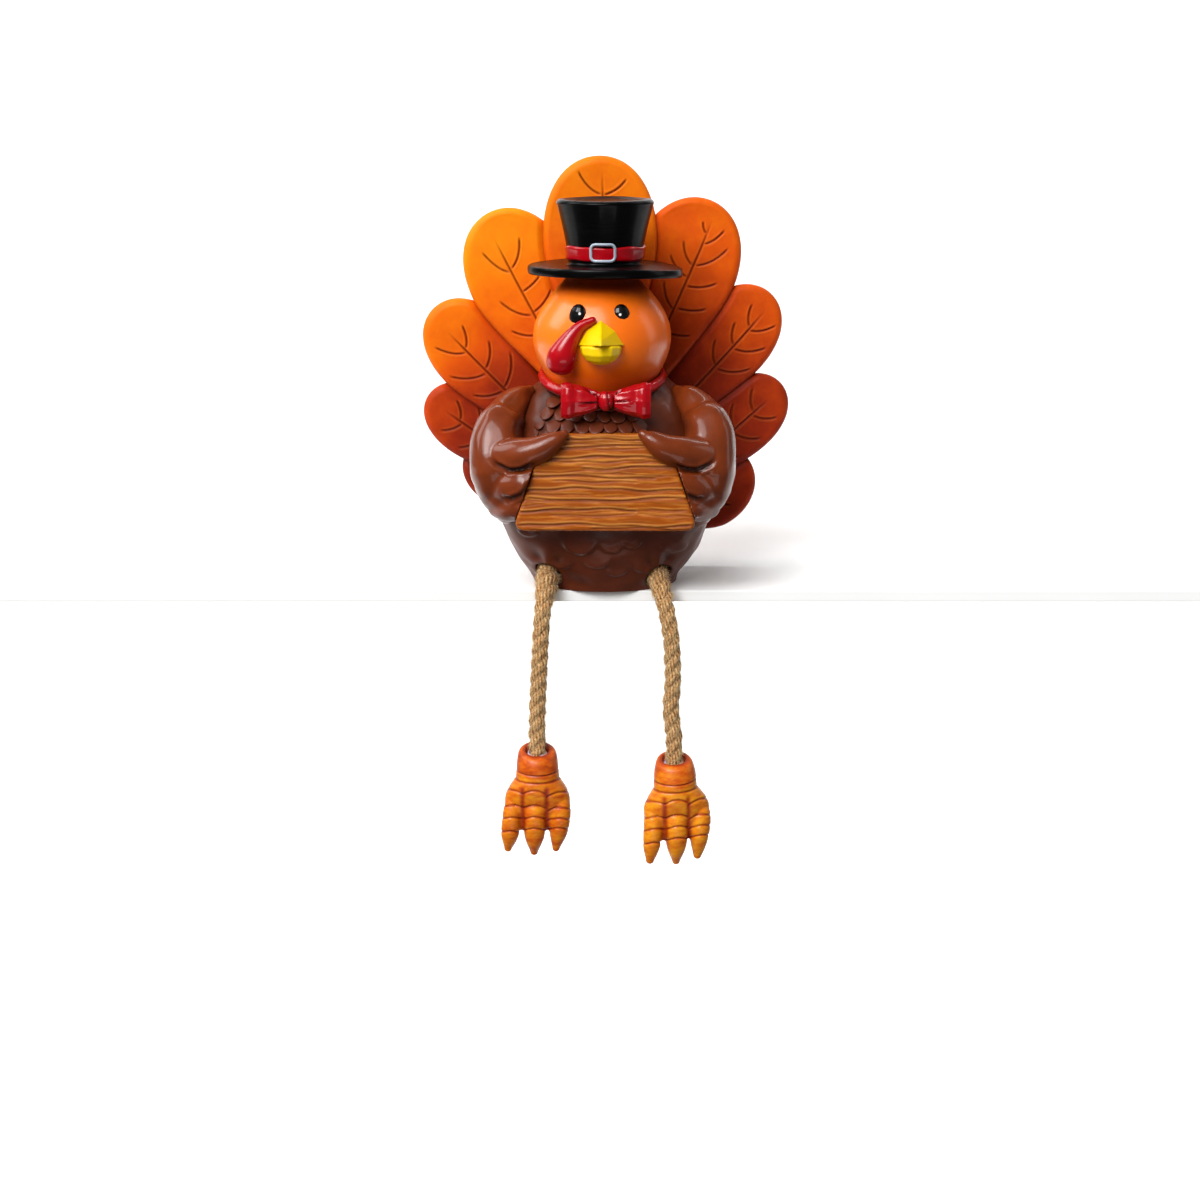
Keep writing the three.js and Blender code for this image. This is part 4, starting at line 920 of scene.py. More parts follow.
# Each row holds shares of the feather's shape, as in the frame: across, up, roundness, foot, reach
# and shoulder. Then come how red its paint is at its tip and at its root, its midvein's place
# across and its top, and its side veins, each by where it leaves the midvein, how far across it
# ends and its rise. Veins are in shares of the tip's radius.
FEATHERS = {
    "top_tail_feather": (
        (-.028, .86, 1, .27, 1, .99), (.2, .62), (.06, .8),
        ((.33, -.36, .44), (-.5, -.5, .5), (.33, .48, .28), (-.5, .6, .4)),
    ),
    "left_tail_feather_1": (
        (-.499, .755, .876, .303, 1, 1.05), (.08, .46), (-.12, .56),
        ((-.24, -.47, .64), (-1.18, -.6, .57), (-1.6, -.66, .36), (-.19, .33, .52), (-.68, .36, .15),
         (-1.14, .44, .28)),
    ),
    "right_tail_feather_1": (
        (.467, .782, .861, .268, 1, 1.08), (.42, .7), (.16, .7),
        ((.36, 0, .2), (-.34, -.22, .42), (-.6, -.37, .33), (-1.3, -.28, .5), (.14, .47, .43),
         (-.32, .68, .6), (-.76, .75, .31), (-1.24, .75, .23), (-1.77, .66, .14)),
    ),
    "left_tail_feather_2": (
        (-.774, .564, .694, .192, 1, 1.08), (.25, .88), (-.14, .42),
        ((-.37, -.66, .68), (-1.09, -.9, .62), (-1.7, -.8, .48), (-.29, .24, .52), (-1, .46, .5),
         (-1.67, .66, .6)),
    ),
    "right_tail_feather_2": (
        (.752, .601, .67, .202, 1, 1.1), (.52, .86), (.2, .63),
        ((-.02, -.17, .52), (-.65, -.2, .52), (-1.35, -.3, .56), (-.09, .68, .58), (-.71, .87, .6),
         (-1.39, .94, .64)),
    ),
    "left_tail_feather_3": (
        (-.817, .378, .55, .115, 1, 1.1), (.68, 1), (-.1, .4),
        ((-.4, -.7, .45), (-1.2, -.85, .5), (-2, -.7, .5), (-.3, .4, .5), (-1, .6, .5), (-1.8, .6, .6)),
    ),
    "right_tail_feather_3": (
        (.822, .397, .574, .056, 1, 1.12), (.76, .94), (.1, .5),
        ((-.2, -.5, .5), (-1, -.55, .55), (-1.9, -.5, .6), (-.3, .7, .55), (-1.1, .85, .55), (-2, .8, .6)),
    ),
    "left_tail_feather_4": (
        (-.617, .242, .526, .061, .84, 1.1), (.86, 1), (-.1, .3),
        ((-.5, -.7, .4), (-1.3, -.8, .4), (-.4, .4, .4), (-1.2, .5, .4)),
    ),
    "right_tail_feather_4": (
        (.61, .205, .694, .058, .9, 1.08), (.8, 1), (.05, .4),
        ((-.3, -.5, .5), (-1.1, -.6, .5), (-.4, .7, .5), (-1.2, .8, .5)),
    ),
}
# The paint from its yellowest to its reddest.
RIPE_TONES = (
    (0, "#F8900A"), (.22, "#EE7406"), (.45, "#D65206"), (.65, "#B23A08"), (.82, "#8A2408"), (1, "#641606"),
)


class Leaf:
    """One tail feather's flat outline, with its own along and across directions."""

    def __init__(self, name, index):
        shape, self.ripe, self.midvein, self.side_veins = FEATHERS[name]
        across, up, rounding, foot, reach, shoulder = shape
        self.name = name
        self.layer = math.ceil(index / 2)
        self.middle = np.array([TAIL_HALF_WIDTH * across, TAIL_HEIGHT * up])
        rise = self.middle[1] - TAIL_HEIGHT * foot
        self.lean = math.atan2(self.middle[0], rise)
        self.long = reach * math.hypot(self.middle[0], rise)
        self.round = FEATHER_RADIUS * rounding
        r, long = self.round, self.long
        wide, waist = shoulder * r, -.1 * long
        stem = curve(((.1 * r, -long), (.2 * r, -.68 * long), (wide, -.3 * long), (wide, waist)), 60)
        head = curve(((wide, waist), (wide, .45 * r), (.58 * r, r), (0, r)), 60)
        self.side = np.concatenate([stem, head[1:]])
        self.rim = np.concatenate([self.side * (-1, 1), self.side[::-1]])

    def local(self, x, z):
        """Across and along, from a place on the tail."""
        dx, dz = x - self.middle[0], z - self.middle[1]
        cos, sin = math.cos(self.lean), math.sin(self.lean)
        return np.stack([dx * cos - dz * sin, dx * sin + dz * cos], -1)

    def world(self, flat):
        """A place on the tail, from across and along."""
        cos, sin = math.cos(self.lean), math.sin(self.lean)
        return (
            self.middle[0] + flat[..., 0] * cos + flat[..., 1] * sin,
            self.middle[1] - flat[..., 0] * sin + flat[..., 1] * cos,
        )

    def inside(self, flat):
        """Depth inside the outline, and less than zero outside it."""
        edge = to_line(flat, self.rim[::3])[0]
        wide = np.interp(flat[..., 1], self.side[:, 1], self.side[:, 0], left=0, right=0)
        return np.where(np.abs(flat[..., 0]) < wide, edge, -edge)

    def veins(self):
        """Lines of the pressed veins: a midvein and the side veins that open from it like a fan."""
        middle, top = self.midvein
        r = self.round
        lines = [curve(((middle * r, top * r), (1.2 * middle * r, -.6 * r), (0, -.8 * self.long)), 24)]
        for foot, end, rise in self.side_veins:
            bend = middle + .66 * (end - middle)
            lines.append(r * curve(((middle, foot), (bend, foot + .2 * rise), (end, foot + rise)), 12))
        return lines


def feather_rows(leaf):
    """Places down the side of a feather: fine where it shows, coarse near the root."""
    side = leaf.side
    low = side[side[:, 1] < -2.1 * leaf.round]
    high = side[side[:, 1] >= -2.1 * leaf.round]
    return np.concatenate([spread(low, 1.2)[:-1], spread(high, 0.36)])


def feather_mesh(leaf, fronts):
    """Points, faces and marks of one feather: rolled edge, pressed veins, tucked behind those in front."""
    rim = feather_rows(leaf)
    columns = np.linspace(-1, 1, 107)
    flat = np.stack([rim[:, None, 0] * columns, np.repeat(rim[:, None, 1], len(columns), 1)], -1)
    roll = mm("feather_roll")
    edge = to_line(flat, leaf.rim[::2])[0]
    left = roll - np.clip(edge, 0, roll)
    curl = roll - np.sqrt(np.maximum(roll**2 - left**2, 0))
    x, z = leaf.world(flat)
    vein, lip, tuck, seam = np.zeros((4, *x.shape))
    for line in leaf.veins():
        cut, beside = pressed(flat, line, mm("vein_width"))
        vein, lip = np.maximum(vein, cut), np.maximum(lip, beside)
    clear = ease((edge - 1.2) / 2)
    vein, lip = vein * clear, lip * clear * (1 - vein)
    # seam is how near a feather in front lies, used below for painted shade beside it.
    for other in fronts:
        depth = other.inside(other.local(x, z))
        tuck = np.maximum(tuck, ease((depth + 2.2) / 2.4))
        seam = np.maximum(seam, np.exp(np.minimum(depth, 0) / 1.1))
    face = TAIL_FRONT + FEATHER_STEP * leaf.layer
    front = face + curl + mm("vein_depth") * (vein - 0.25 * lip) + mm("tuck") * tuck
    front += 0.18 * waves(np.stack([x, z], -1), 13, SEED + leaf.layer) * clear
    back = face + FEATHER_THICK - curl
    front = np.minimum(np.maximum(front, face - 0.2), back)
    points = np.concatenate([np.stack([x, y, z], -1).reshape(-1, 3) for y in (front, back)])
    rows, wide = x.shape
    i, j = np.meshgrid(np.arange(rows - 1), np.arange(wide - 1), indexing="ij")
    corner = (i * wide + j).ravel()
    sheet = np.stack([corner, corner + 1, corner + wide + 1, corner + wide], 1)
    loop = np.concatenate([
        np.arange(wide), wide * np.arange(1, rows) + wide - 1, rows * wide - 2 - np.arange(wide - 1),
        wide * np.arange(rows - 2, -1, -1),
    ])
    half = rows * wide
    walls = np.stack([loop[:-1], loop[1:], loop[1:] + half, loop[:-1] + half], 1)
    faces = np.concatenate([sheet, sheet[:, ::-1] + half, walls])
    tip, root = leaf.ripe
    down = ease((0.75 - flat[..., 1] / leaf.round) / 2.9)
    # Redder towards the root, and redder beside the feathers in front as painted shade.
    ripe = tip + (root - tip) * down + 0.1 * seam
    # hollow is dark paint and painted shade in the veins, and painted shade beside the feathers in front.
    hollow = np.clip(vein + 0.75 * np.maximum(seam - 0.35, 0), 0, 1)
    # light is a painted highlight, in a pale orange, on the raised lips beside the veins.
    light = 0.14 * lip * (1 - 0.8 * ripe)
    marks = {"ripe": (ripe, ripe), "hollow": (hollow, 0 * hollow), "rim": (light, 0 * light)}
    return points, faces, {mark: np.stack(pair) for mark, pair in marks.items()}


def make_feathers():
    """Satin orange enamel over moulded resin, brushed redder towards the roots, wash in the veins."""
    enamel = [
        painted(
            name, RIPE_TONES, colours().vein, (0.5, 0, 0.25, 0.1), 9, grain=0.8, ripe=True, rim="#FFB040"
        )
        for name in ("satin_orange_enamel", "satin_rust_enamel")
    ]
    leaves = [Leaf(name, i) for i, name in enumerate(FEATHERS)]
    for leaf in leaves:
        points, faces, marks = feather_mesh(leaf, [o for o in leaves if o.layer < leaf.layer])
        k = int(leaf.layer >= 2)
        make(leaf.name + "_leaf", leaf.name, (points, faces), enamel[k], marks)
    resin = brown_resin("satin_brown_resin_rump")
    make("tail_rump_skin", "tail_rump", skin("tail_rump", 0.8, 12), resin)


# Head, eyes, beak and snood.

HEAD_RADIUS, HEAD_HEIGHT, HEAD_FOOT, HEAD_MIDDLE = 24.2, 46.8, 62.0, (-1.0, -9.0)
HEAD_SHARES = (
    (0, .62), (.1, .68), (.2, .75), (.3, .85), (.4, .94), (.526, 1), (.65, .98), (.75, .9), (.85, .77),
    (.93, .64), (1, .5),
)


def make_head():
    """Satin orange enamel: a soft even orange, redder low down and where the hat shades it."""
    tones = ((0, "#F57A0A"), (.4, colours().head), (.75, "#B43C06"), (1, "#842404"))
    resin = painted("satin_orange_resin_head", tones, "#7A2006", (0.45, 0.75, 0.22, 0.1), 14, ripe=True)
    heights = np.linspace(0, 1, 110)
    window = np.hanning(17) / np.hanning(17).sum()
    shares = np.pad(through(HEAD_SHARES, heights)[:, 0], 8, "edge")
    radius = HEAD_RADIUS * np.convolve(shares, window, "valid")
    rings = revolve(np.stack([radius, HEAD_FOOT + HEAD_HEIGHT * heights], 1), 220) + (*HEAD_MIDDLE, 0)
    rings = rings + 0.15 * waves(rings, 20, SEED + 3)[..., None] * ring_normals(rings)
    # low makes the head redder low down; high is painted shade under the hat brim, and side is painted shade
    # on the side away from the key light.
    low = ease((0.45 - heights) / 0.4)[:, None]
    high = ease((heights - 0.86) / 0.1)[:, None]
    side = np.cos(full_turn(220))
    ripe = 0.2 + 0.75 * low + 0.6 * high + 0.12 * side
    make("head_skin", "head", closed(rings), resin, {"ripe": ripe})


# The painted highlight on each eye, a white dot for the lamps' reflection, across and up from its middle.
GLINTS = (("left", 0.65, 0.9), ("right", -0.5, 0.6))
# How much the lower beak's skin swells, and how far its foot stands out for each millimetre down.
LOWER_BEAK_SWELL, LOWER_BEAK_LEAN = 0.35, 0.35
# Snood. Rows hold shares of its swing to the side, its drop and its radius, as in the frame.
SNOOD_ROOT, SNOOD_SWING, SNOOD_DROP, SNOOD_RADIUS, SNOOD_PROUD = (-3.3, 95.8), 11.0, 14.7, 4.3, 0.78
SNOOD_SHARES = ((0, 0, .3), (.4, .15, .43), (.71, .45, .64), (.92, .78, .93), (.98, .97, .97))
# How much wider and deeper its hanging end is than the frame's.
SNOOD_SWELL = np.array([0.9, 0.3])


def make_face():
    """Gloss black eyes with a painted glint, the two halves of the beak and the snood."""
    gloss = painted(
        "gloss_black_eye_enamel", two_tones("#050506"), "#000000", (0.3, 0.5, 0.12, 0.2), 4, grit=0
    )
    for side, shift, lift in GLINTS:
        node = side + "_eye"
        points, faces = skin(node, 0.12, 12)
        middle = sum(box_mm(node)) / 2
        dot = middle + (shift, 0, lift)
        # A soft white dot on the eye's front as a painted highlight, laid on in the rim colour.
        spot = 1 - ease((np.linalg.norm((points - dot)[:, [0, 2]], axis=1) - 0.32) / 0.2)
        glint = {"rim": spot * (points[:, 1] < middle[1])}
        make(node + "_dome", node, (points, faces), gloss, glint)
    yellow = painted(
        "gloss_yellow_enamel_beak", two_tones(colours().beak, 0.9), "#A86400", (0.42, 0.08, 0.2, 0.2), 8
    )
    for node in ("upper_beak", "lower_beak"):
        points, faces = skin(node, 0.28, 8)
        low, high = box_mm(node)
        # Painted shade along the upper beak's lowest edge, at the mouth line; the lower beak gets none.
        dark = 0.4 * bump(points[:, 2] - low[2], 0.5)
        if node == "lower_beak":
            points = points + LOWER_BEAK_SWELL * quad_normals(points, faces)
            points[:, 1] -= LOWER_BEAK_LEAN * (high[2] - points[:, 2])
            dark = 0 * dark
        make(node + "_shell", node, (points, faces), yellow, {"hollow": dark})
    swing, drop, girth = np.array(SNOOD_SHARES).T
    x = SNOOD_ROOT[0] - SNOOD_SWING * swing
    z = SNOOD_ROOT[1] - SNOOD_DROP * drop
    skull = HEAD_RADIUS * through(HEAD_SHARES, (z - HEAD_FOOT) / HEAD_HEIGHT)[:, 0]
    out = skull + SNOOD_PROUD * SNOOD_RADIUS * girth
    line = np.stack([HEAD_MIDDLE[0] + x, HEAD_MIDDLE[1] - np.sqrt(out**2 - x**2), z], 1)
    radii = SNOOD_RADIUS * girth[:, None] + ease(drop[:, None] / 0.8) * SNOOD_SWELL
    enamel = red_gloss("gloss_red_enamel_snood")
    make("snood_wattle", "snood", limb(line, radii, 70, 48), enamel)


def red_gloss(name):
    """Gloss red enamel: thick and wet-looking, with sharp highlights, darker where it pools."""
    return painted(
        name, two_tones(colours().red, 0.8), "#2A0006", (0.3, 0.6, 0.06, 0.12), 10, grain=1.4,
        rim="#E84050",
    )


# Hat.

HAT_AXIS, HAT_FOOT, HAT_TILT = (0.0, -8.0), 110.3, math.radians(-0.4)
BRIM_RADIUS, BRIM_THICK, CROWN_FOOT, CROWN_TOP, CROWN_HEIGHT, HAT_DISH = 27.0, 2.9, 12.9, 17.1, 22.2, 0.8
HAT_HEIGHT = BRIM_THICK + CROWN_HEIGHT
BAND_FOOT, BAND_HEIGHT, BAND_THICK = 1.5, 4.9, 0.7
BUCKLE_HALF_WIDTH, BUCKLE_HALF_HEIGHT, BUCKLE_ROUND, BUCKLE_SHIFT, BUCKLE_LIFT = 4.15, 2.85, 1.6, -0.8, 0.7
BUCKLE_BAR, BUCKLE_PROUD = 0.52, 0.5


def crown_radius(up):
    """The crown's radius at a height over the brim's underside."""
    t = np.clip((up - BRIM_THICK) / CROWN_HEIGHT, 0, 1)
    return CROWN_FOOT + (CROWN_TOP - CROWN_FOOT) * t**1.5


def on_head(points):
    """Puts points made round the hat's own axis where the hat sits, tilted back."""
    x, y, z = points[..., 0], points[..., 1], points[..., 2]
    away = ease((np.hypot(x, y) - CROWN_FOOT) / (BRIM_RADIUS - CROWN_FOOT))
    z = z - mm("brim_droop") * away * (x / BRIM_RADIUS) ** 2 * np.where(x > 0, 1, 0.25)
    cos, sin = math.cos(HAT_TILT), math.sin(HAT_TILT)
    return np.stack([x + HAT_AXIS[0], y * cos + z * sin + HAT_AXIS[1], z * cos - y * sin + HAT_FOOT], -1)


def hat_cloth():
    """Brushed black satin enamel: fine level brush lines that stretch the highlights sideways."""
    material, node, place = new_material("brushed_black_satin_enamel")
    squeezed = node("ShaderNodeMapping", {"Vector": place, "Scale": (0.06, 0.06, 1.0)})
    lines = node("ShaderNodeTexNoise", {"Vector": squeezed, "Scale": per_mm(0.7), "Detail": 3})
    black = colours().hat
    tones = ((0.4, black), (0.75, [min(1, c * 3) for c in black[:3]] + [1]))
    worn = node("ShaderNodeValToRGB", {"Fac": lines}, tones)
    relief = node("ShaderNodeBump", {"Height": lines, "Strength": 0.5, "Distance": 0.12 * MM})
    surface(node, worn, relief, Roughness=0.32, IOR=1.5, Coat_Weight=0.1, Coat_Roughness=0.08,
            Specular_IOR_Level=0.06)
    return material


def revolve(profile, columns):
    """Rings round the axis from a profile of radius and height."""
    angle = full_turn(columns)
    radius, up = profile[:, :1], profile[:, 1:]
    return np.stack([radius * np.cos(angle), radius * np.sin(angle), np.repeat(up, columns, 1)], -1)


def make_hat():
    """Top hat with a blunt drooping brim, a flared crown and a dished lid, its band and its buckle."""
    half = BRIM_THICK / 2
    turn = np.linspace(-math.pi / 2, math.pi / 2, 14)
    blunt = 1 - np.cos(turn) ** 0.55
    corner = np.linspace(0, math.pi / 2, 8)[1:]
    up = np.linspace(BRIM_THICK + 0.6, HAT_HEIGHT - 1.5, 50)
    flat = np.linspace(CROWN_TOP - 2.2, 0.3, 24)
    profile = (
        (np.linspace(0.3, BRIM_RADIUS - half, 24), np.zeros(24)),
        (BRIM_RADIUS - 0.5 * half * blunt, half + half * np.sin(turn)),
        (np.linspace(BRIM_RADIUS - half, CROWN_FOOT + 0.7, 24), np.full(24, BRIM_THICK)),
        (crown_radius(up), up),
        (CROWN_TOP - 1.7 + 1.5 * np.cos(corner), HAT_HEIGHT - 1.5 + 1.5 * np.sin(corner)),
        (flat, HAT_HEIGHT - HAT_DISH * ease((CROWN_TOP - 1.7 - flat) / 3.5)),
    )
    rings = revolve(np.concatenate([np.stack(line, 1) for line in profile]), 220)
    rings = rings + 0.08 * waves(rings, 11, SEED + 5)[..., None] * ring_normals(rings)
    make("top_hat_felt", "top_hat", closed(on_head(rings)), hat_cloth())
    angle = full_turn(260)
    around = np.stack([np.cos(angle), np.sin(angle)], -1) * CROWN_FOOT
    foot = BRIM_THICK + BAND_FOOT + 0.22 * waves(around, 6, SEED + 6)
    head = BRIM_THICK + BAND_FOOT + BAND_HEIGHT + 0.22 * waves(around, 6, SEED + 8)
    section = full_turn(24)
    share = 0.5 - 0.5 * np.cos(section)[:, None]
    up = foot + (head - foot) * share
    out = crown_radius(up) - 0.4 + (BAND_THICK + 0.4) * np.clip(1.8 * np.sin(section), 0, 1)[:, None]
    band = closed(on_head(np.stack([out * np.cos(angle), out * np.sin(angle), up], -1)), wrap_rows=True)
    make("hat_band_ribbon", "hat_band", band, red_gloss("gloss_red_enamel_band"))
    make_buckle()


def make_buckle():
    """Pale blue-grey enamel frame with round corners, bent to the crown, its opening on the band."""
    quarter = np.linspace(0, math.pi / 2, 9)
    corners = []
    for k, (sx, sz) in enumerate(((1, 1), (-1, 1), (-1, -1), (1, -1))):
        turn = quarter + k * math.pi / 2
        corners.append(np.stack([
            sx * (BUCKLE_HALF_WIDTH - BUCKLE_ROUND) + BUCKLE_ROUND * np.cos(turn),
            sz * (BUCKLE_HALF_HEIGHT - BUCKLE_ROUND) + BUCKLE_ROUND * np.sin(turn),
        ], 1))
    line = spread(np.concatenate(corners + [corners[0][:1]]), 0.25)[:-1]
    ahead = unit(np.roll(line, -1, 0) - np.roll(line, 1, 0))
    outward = np.stack([ahead[:, 1], -ahead[:, 0]], 1)
    section = full_turn(14)
    flat = line[:, None] + BUCKLE_BAR * np.cos(section)[None, :, None] * outward[:, None]
    x = flat[..., 0] + BUCKLE_SHIFT
    up = flat[..., 1] + BRIM_THICK + BAND_FOOT + BAND_HEIGHT / 2 + BUCKLE_LIFT
    front = np.sqrt(np.maximum((crown_radius(up) + BAND_THICK) ** 2 - x**2, 0))
    y = -(front + 0.1 + BUCKLE_PROUD * np.sin(section)[None, :])
    rings = on_head(np.stack([x, y, up], -1))
    silver = painted(
        "pale_grey_enamel_buckle", two_tones(colours().buckle, 0.85), "#5C6870", (0.25, 0.4, 0.12, 0.5), 3
    )
    make("hat_buckle_frame", "hat_buckle", closed(rings, wrap_rows=True), silver)


# Neck band and bow.


def make_bow():
    """Neck band, two puffed loops with gathers towards the knot, and the creased knot."""
    red = red_gloss("gloss_red_enamel_bow")
    make("neck_band_ribbon", "neck_band", skin("neck_band", 0.45, 12), red)
    middle = sum(box_mm("bow_knot")) / 2
    for node in ("bow_left_loop", "bow_right_loop", "bow_knot"):
        points, faces = skin(node, 0.24, 16)
        normal = quad_normals(points, faces)
        away = points - middle
        front = ease(-normal[:, 1] * 1.6 + 0.2)
        if node == "bow_knot":
            crease = bump(away[:, 0] - 0.9 + 0.15 * away[:, 2], 0.35) * front
            push = 0.35 * front - 0.4 * crease
        else:
            reach = np.abs(away[:, 0])
            turn = np.arctan2(away[:, 2] + 0.3, reach)
            gather = np.maximum(np.cos(turn * 9 + (0.6 if "left" in node else -0.4)), 0) ** 3
            crease = gather * ease((10.5 - reach) / 6) * front
            end = bump(reach - 12.6, 1.3) * front
            push = -0.9 * crease + 0.35 * end - 0.35 * bump(reach - 10, 1.3) * front
        points = points + push[:, None] * normal
        # Painted shade in the knot's crease and the loops' gathers.
        marks = {"hollow": 0.75 * np.clip(crease, 0, 1)}
        make(node + "_fold", node, (points, faces), red, marks)


# Sign board.

# Long grooves between the planks: share of the height, and where they start and end across.
PLANK_SHARES = (
    (.93, -1, 1), (.875, -1, 1), (.755, -1, .95), (.655, -.3, 1), (.56, -1, .6), (.435, -1, 1),
    (.335, -.9, 1), (.22, -1, .4), (.07, -1, 1), (.03, -.2, .8),
)
FINE_GROOVES = 46


def board_wood():
    """Stained carved board: golden brown on its ridges with dark stain in the grain, low gloss."""
    tones = ((.3, "#8A4210"), (.5, colours().board), (.72, "#C87A2C"))
    return painted(
        "stained_carved_board", tones, colours().board_grain_stain_and_shade, (0.42, 0.12, 0.2, 0.12), 1.5, grain=0.4,
        grit=0.06, rim="#E8A450", stretch=(0.1, 1, 1),
    )


def make_board():
    """Bare planked board: long grooves, finer random ones, light lips beside them, ragged ends."""
    points, faces = skin("sign_board", 0.34, 3)
    normal = quad_normals(points, faces)
    low, high = box_mm("sign_board")
    x, z = points[:, 0], points[:, 2]
    across = x / high[0]
    tall = high[2] - low[2]
    up = (z - low[2]) / tall
    dice = np.random.default_rng(SEED + 11)
    rows = [(*row, 1.0, 0.34) for row in PLANK_SHARES]
    for _ in range(FINE_GROOVES):
        begin = dice.uniform(-1.1, 0.7)
        rows.append((dice.uniform(0.02, 0.98), begin, begin + dice.uniform(0.3, 1.1),
                     dice.uniform(0.25, 0.6), dice.uniform(0.2, 0.32)))
    deep, light = np.zeros((2, len(x)))
    for share, begin, end, strength, wide in rows:
        sway = 0.5 * np.sin(across * dice.uniform(2, 4) + dice.uniform(0, 6))
        sway += 0.22 * np.sin(across * dice.uniform(7, 14) + dice.uniform(0, 6))
        away = (up - share) * tall - sway
        fade = ease((across - begin) / 0.08) * ease((end - across) / 0.08)
        deep = np.maximum(deep, strength * bump(away, wide) * fade)
        light = np.maximum(light, strength * bump(away - 2.2 * wide, 0.8 * wide) * fade)
    side = ease(np.abs(normal[:, 1]) * 2.5 - 0.6)
    light *= 1 - deep
    ripple = waves(np.stack([x / 30, z / 2.6], -1), 1, SEED + 12, 12)
    push = mm("board_groove") * (0.3 * light + 0.16 * ripple - deep) * side
    ragged = waves(np.stack([x / 2.2, 0 * z], -1), 1, SEED + 13) * (1 - side) * np.abs(normal[:, 2])
    points = points + (push - 0.18 * np.abs(ragged))[:, None] * normal
    # hollow is dark stain and painted shade in the grooves; rim is a painted highlight on the lips beside
    # them.
    marks = {"hollow": np.clip(0.62 * deep * side, 0, 1), "rim": 0.5 * light * side}
    make("sign_board_wood", "sign_board", (points, faces), board_wood(), marks)


# Wings. Rows hold shares of the reach, the depth, the height and the half sizes, as in the frame.

WING_MIDDLE, WING_REACH, WING_DEPTH, HAND_DEPTH, WING_FOOT, WING_HEIGHT = -0.6, 46.6, 20.0, 45.0, 26.6, 44.8
ARM_HALF_WIDTH, ARM_HALF_DEPTH, FINGER_RADIUS = 9.0, 19.0, 6.0
ARM_SHARES = (
    (.56, .4, .94, .24, .2), (.65, .5, .88, .54, .45), (.741, .62, .753, .76, .68), (.788, .8, .621, .95, .9),
    (.768, .92, .443, 1.14, 1), (.755, .97, .303, 1.16, .98), (.745, 1.04, .149, .92, .78),
    (.72, 1.12, .05, .56, .42),
)
FINGER_SHARES = {
    "thumb": (
        (.755, .7, .5, 1.07), (.606, .815, .538, .96), (.461, .87, .585, .8), (.346, .892, .654, .54),
        (.286, .888, .698, .26),
    ),
    "middle": ((.803, .62, .24, .86), (.698, .74, .27, .98), (.594, .82, .3, .98), (.49, .86, .334, .8)),
    "low": ((.776, .6, .091, .72), (.7, .71, .095, .76), (.624, .8, .118, .72), (.57, .84, .14, .56)),
    "palm": ((.82, .5, .24, 1.1), (.76, .6, .2, 1.2), (.68, .68, .2, 1.12), (.61, .74, .21, .9)),
    "web": ((.8, .5, .74, .9), (.79, .58, .62, 1.15), (.76, .64, .54, 1.25), (.7, .7, .5, 1.1)),
}
# Creases in the front of the wing: shares of the reach and of the height along each.
CREASE_SHARES = (
    ((.84, .52), (.78, .46), (.69, .42), (.6, .43), (.52, .47), (.46, .51)),
    ((.77, .21), (.68, .2), (.6, .24), (.56, .29), (.53, .37)),
)
BOARD_FOOT, BOARD_TOP, BOARD_FOOT_HALF, BOARD_TOP_HALF = 24.8, 58.2, 31.5, 20.5
BOARD_BACK = -36.0


def wing_place(side, rows, depth=HAND_DEPTH):
    """Points in millimetres for rows of shares of the reach, the depth and the height."""
    rows = np.array(rows, float)
    across = WING_MIDDLE + side * WING_REACH * rows[:, 0]
    return np.stack([across, -depth * rows[:, 1], WING_FOOT + WING_HEIGHT * rows[:, 2]], 1)


def level_with_board(points):
    """Moves what would lie over the board's face out to the board's slanted side."""
    x, y, z = points.T
    half = np.interp(z, (BOARD_FOOT, BOARD_TOP), (BOARD_FOOT_HALF, BOARD_TOP_HALF)) + 0.3
    over = (np.abs(x) < half) & (y < BOARD_BACK) & (z > BOARD_FOOT - 0.3) & (z < BOARD_TOP)
    return np.stack([np.where(over, np.sign(x) * half, x), y, z], 1)


def make_wings():
    """Gloss brown enamel over moulded resin: long soft white highlights, dark in its creases."""
    resin = painted(
        "gloss_brown_resin_wing", two_tones(colours().wing, 0.72, 0.3), "#200C05", (0.38, 0.42, 0.12, 0.15),
        9, rim="#C07850",
    )
    for node, side in (("left_wing", -1), ("right_wing", 1)):
        rows = np.array(ARM_SHARES)
        girths = rows[:, 3:] * (ARM_HALF_WIDTH, ARM_HALF_DEPTH)
        arm = limb(wing_place(side, rows, WING_DEPTH), girths, 80, 60, 0.62)
        fingers = {
            name: limb(wing_place(side, rows), FINGER_RADIUS * np.array(rows)[:, 3:4] * (1, 1))
            for name, rows in FINGER_SHARES.items()
        }
        palm, faces = fuse([arm] + [fingers[name] for name in ("middle", "low", "palm", "web")], 0.6, 22)
        points, faces = fuse([(level_with_board(palm), faces.tolist()), fingers["thumb"]], 0.42, 10)
        normal = quad_normals(points, faces)
        front = ease(-normal[:, 1] * 2 + 0.3)
        cut, lip = np.zeros((2, len(points)))
        for shares in CREASE_SHARES:
            line = wing_place(side, [(out, 0, up) for out, up in shares])[:, [0, 2]]
            groove, beside = pressed(points[:, [0, 2]], line, 0.75, 0.3)
            cut, lip = np.maximum(cut, groove * front), np.maximum(lip, beside * front)
        push = 0.22 * waves(points, 13, SEED + 2) + 0.1 * waves(points, 5, SEED + 9)
        push += mm("wing_crease") * (0.35 * lip * (1 - cut) - cut)
        points = points + push[:, None] * normal
        # hollow is painted shade in the creases.
        make(node + "_skin", node, (points, faces), resin, {"hollow": 0.85 * cut})


# Feet. Rows hold shares of the length, the half width and the half depth, as in the frame.

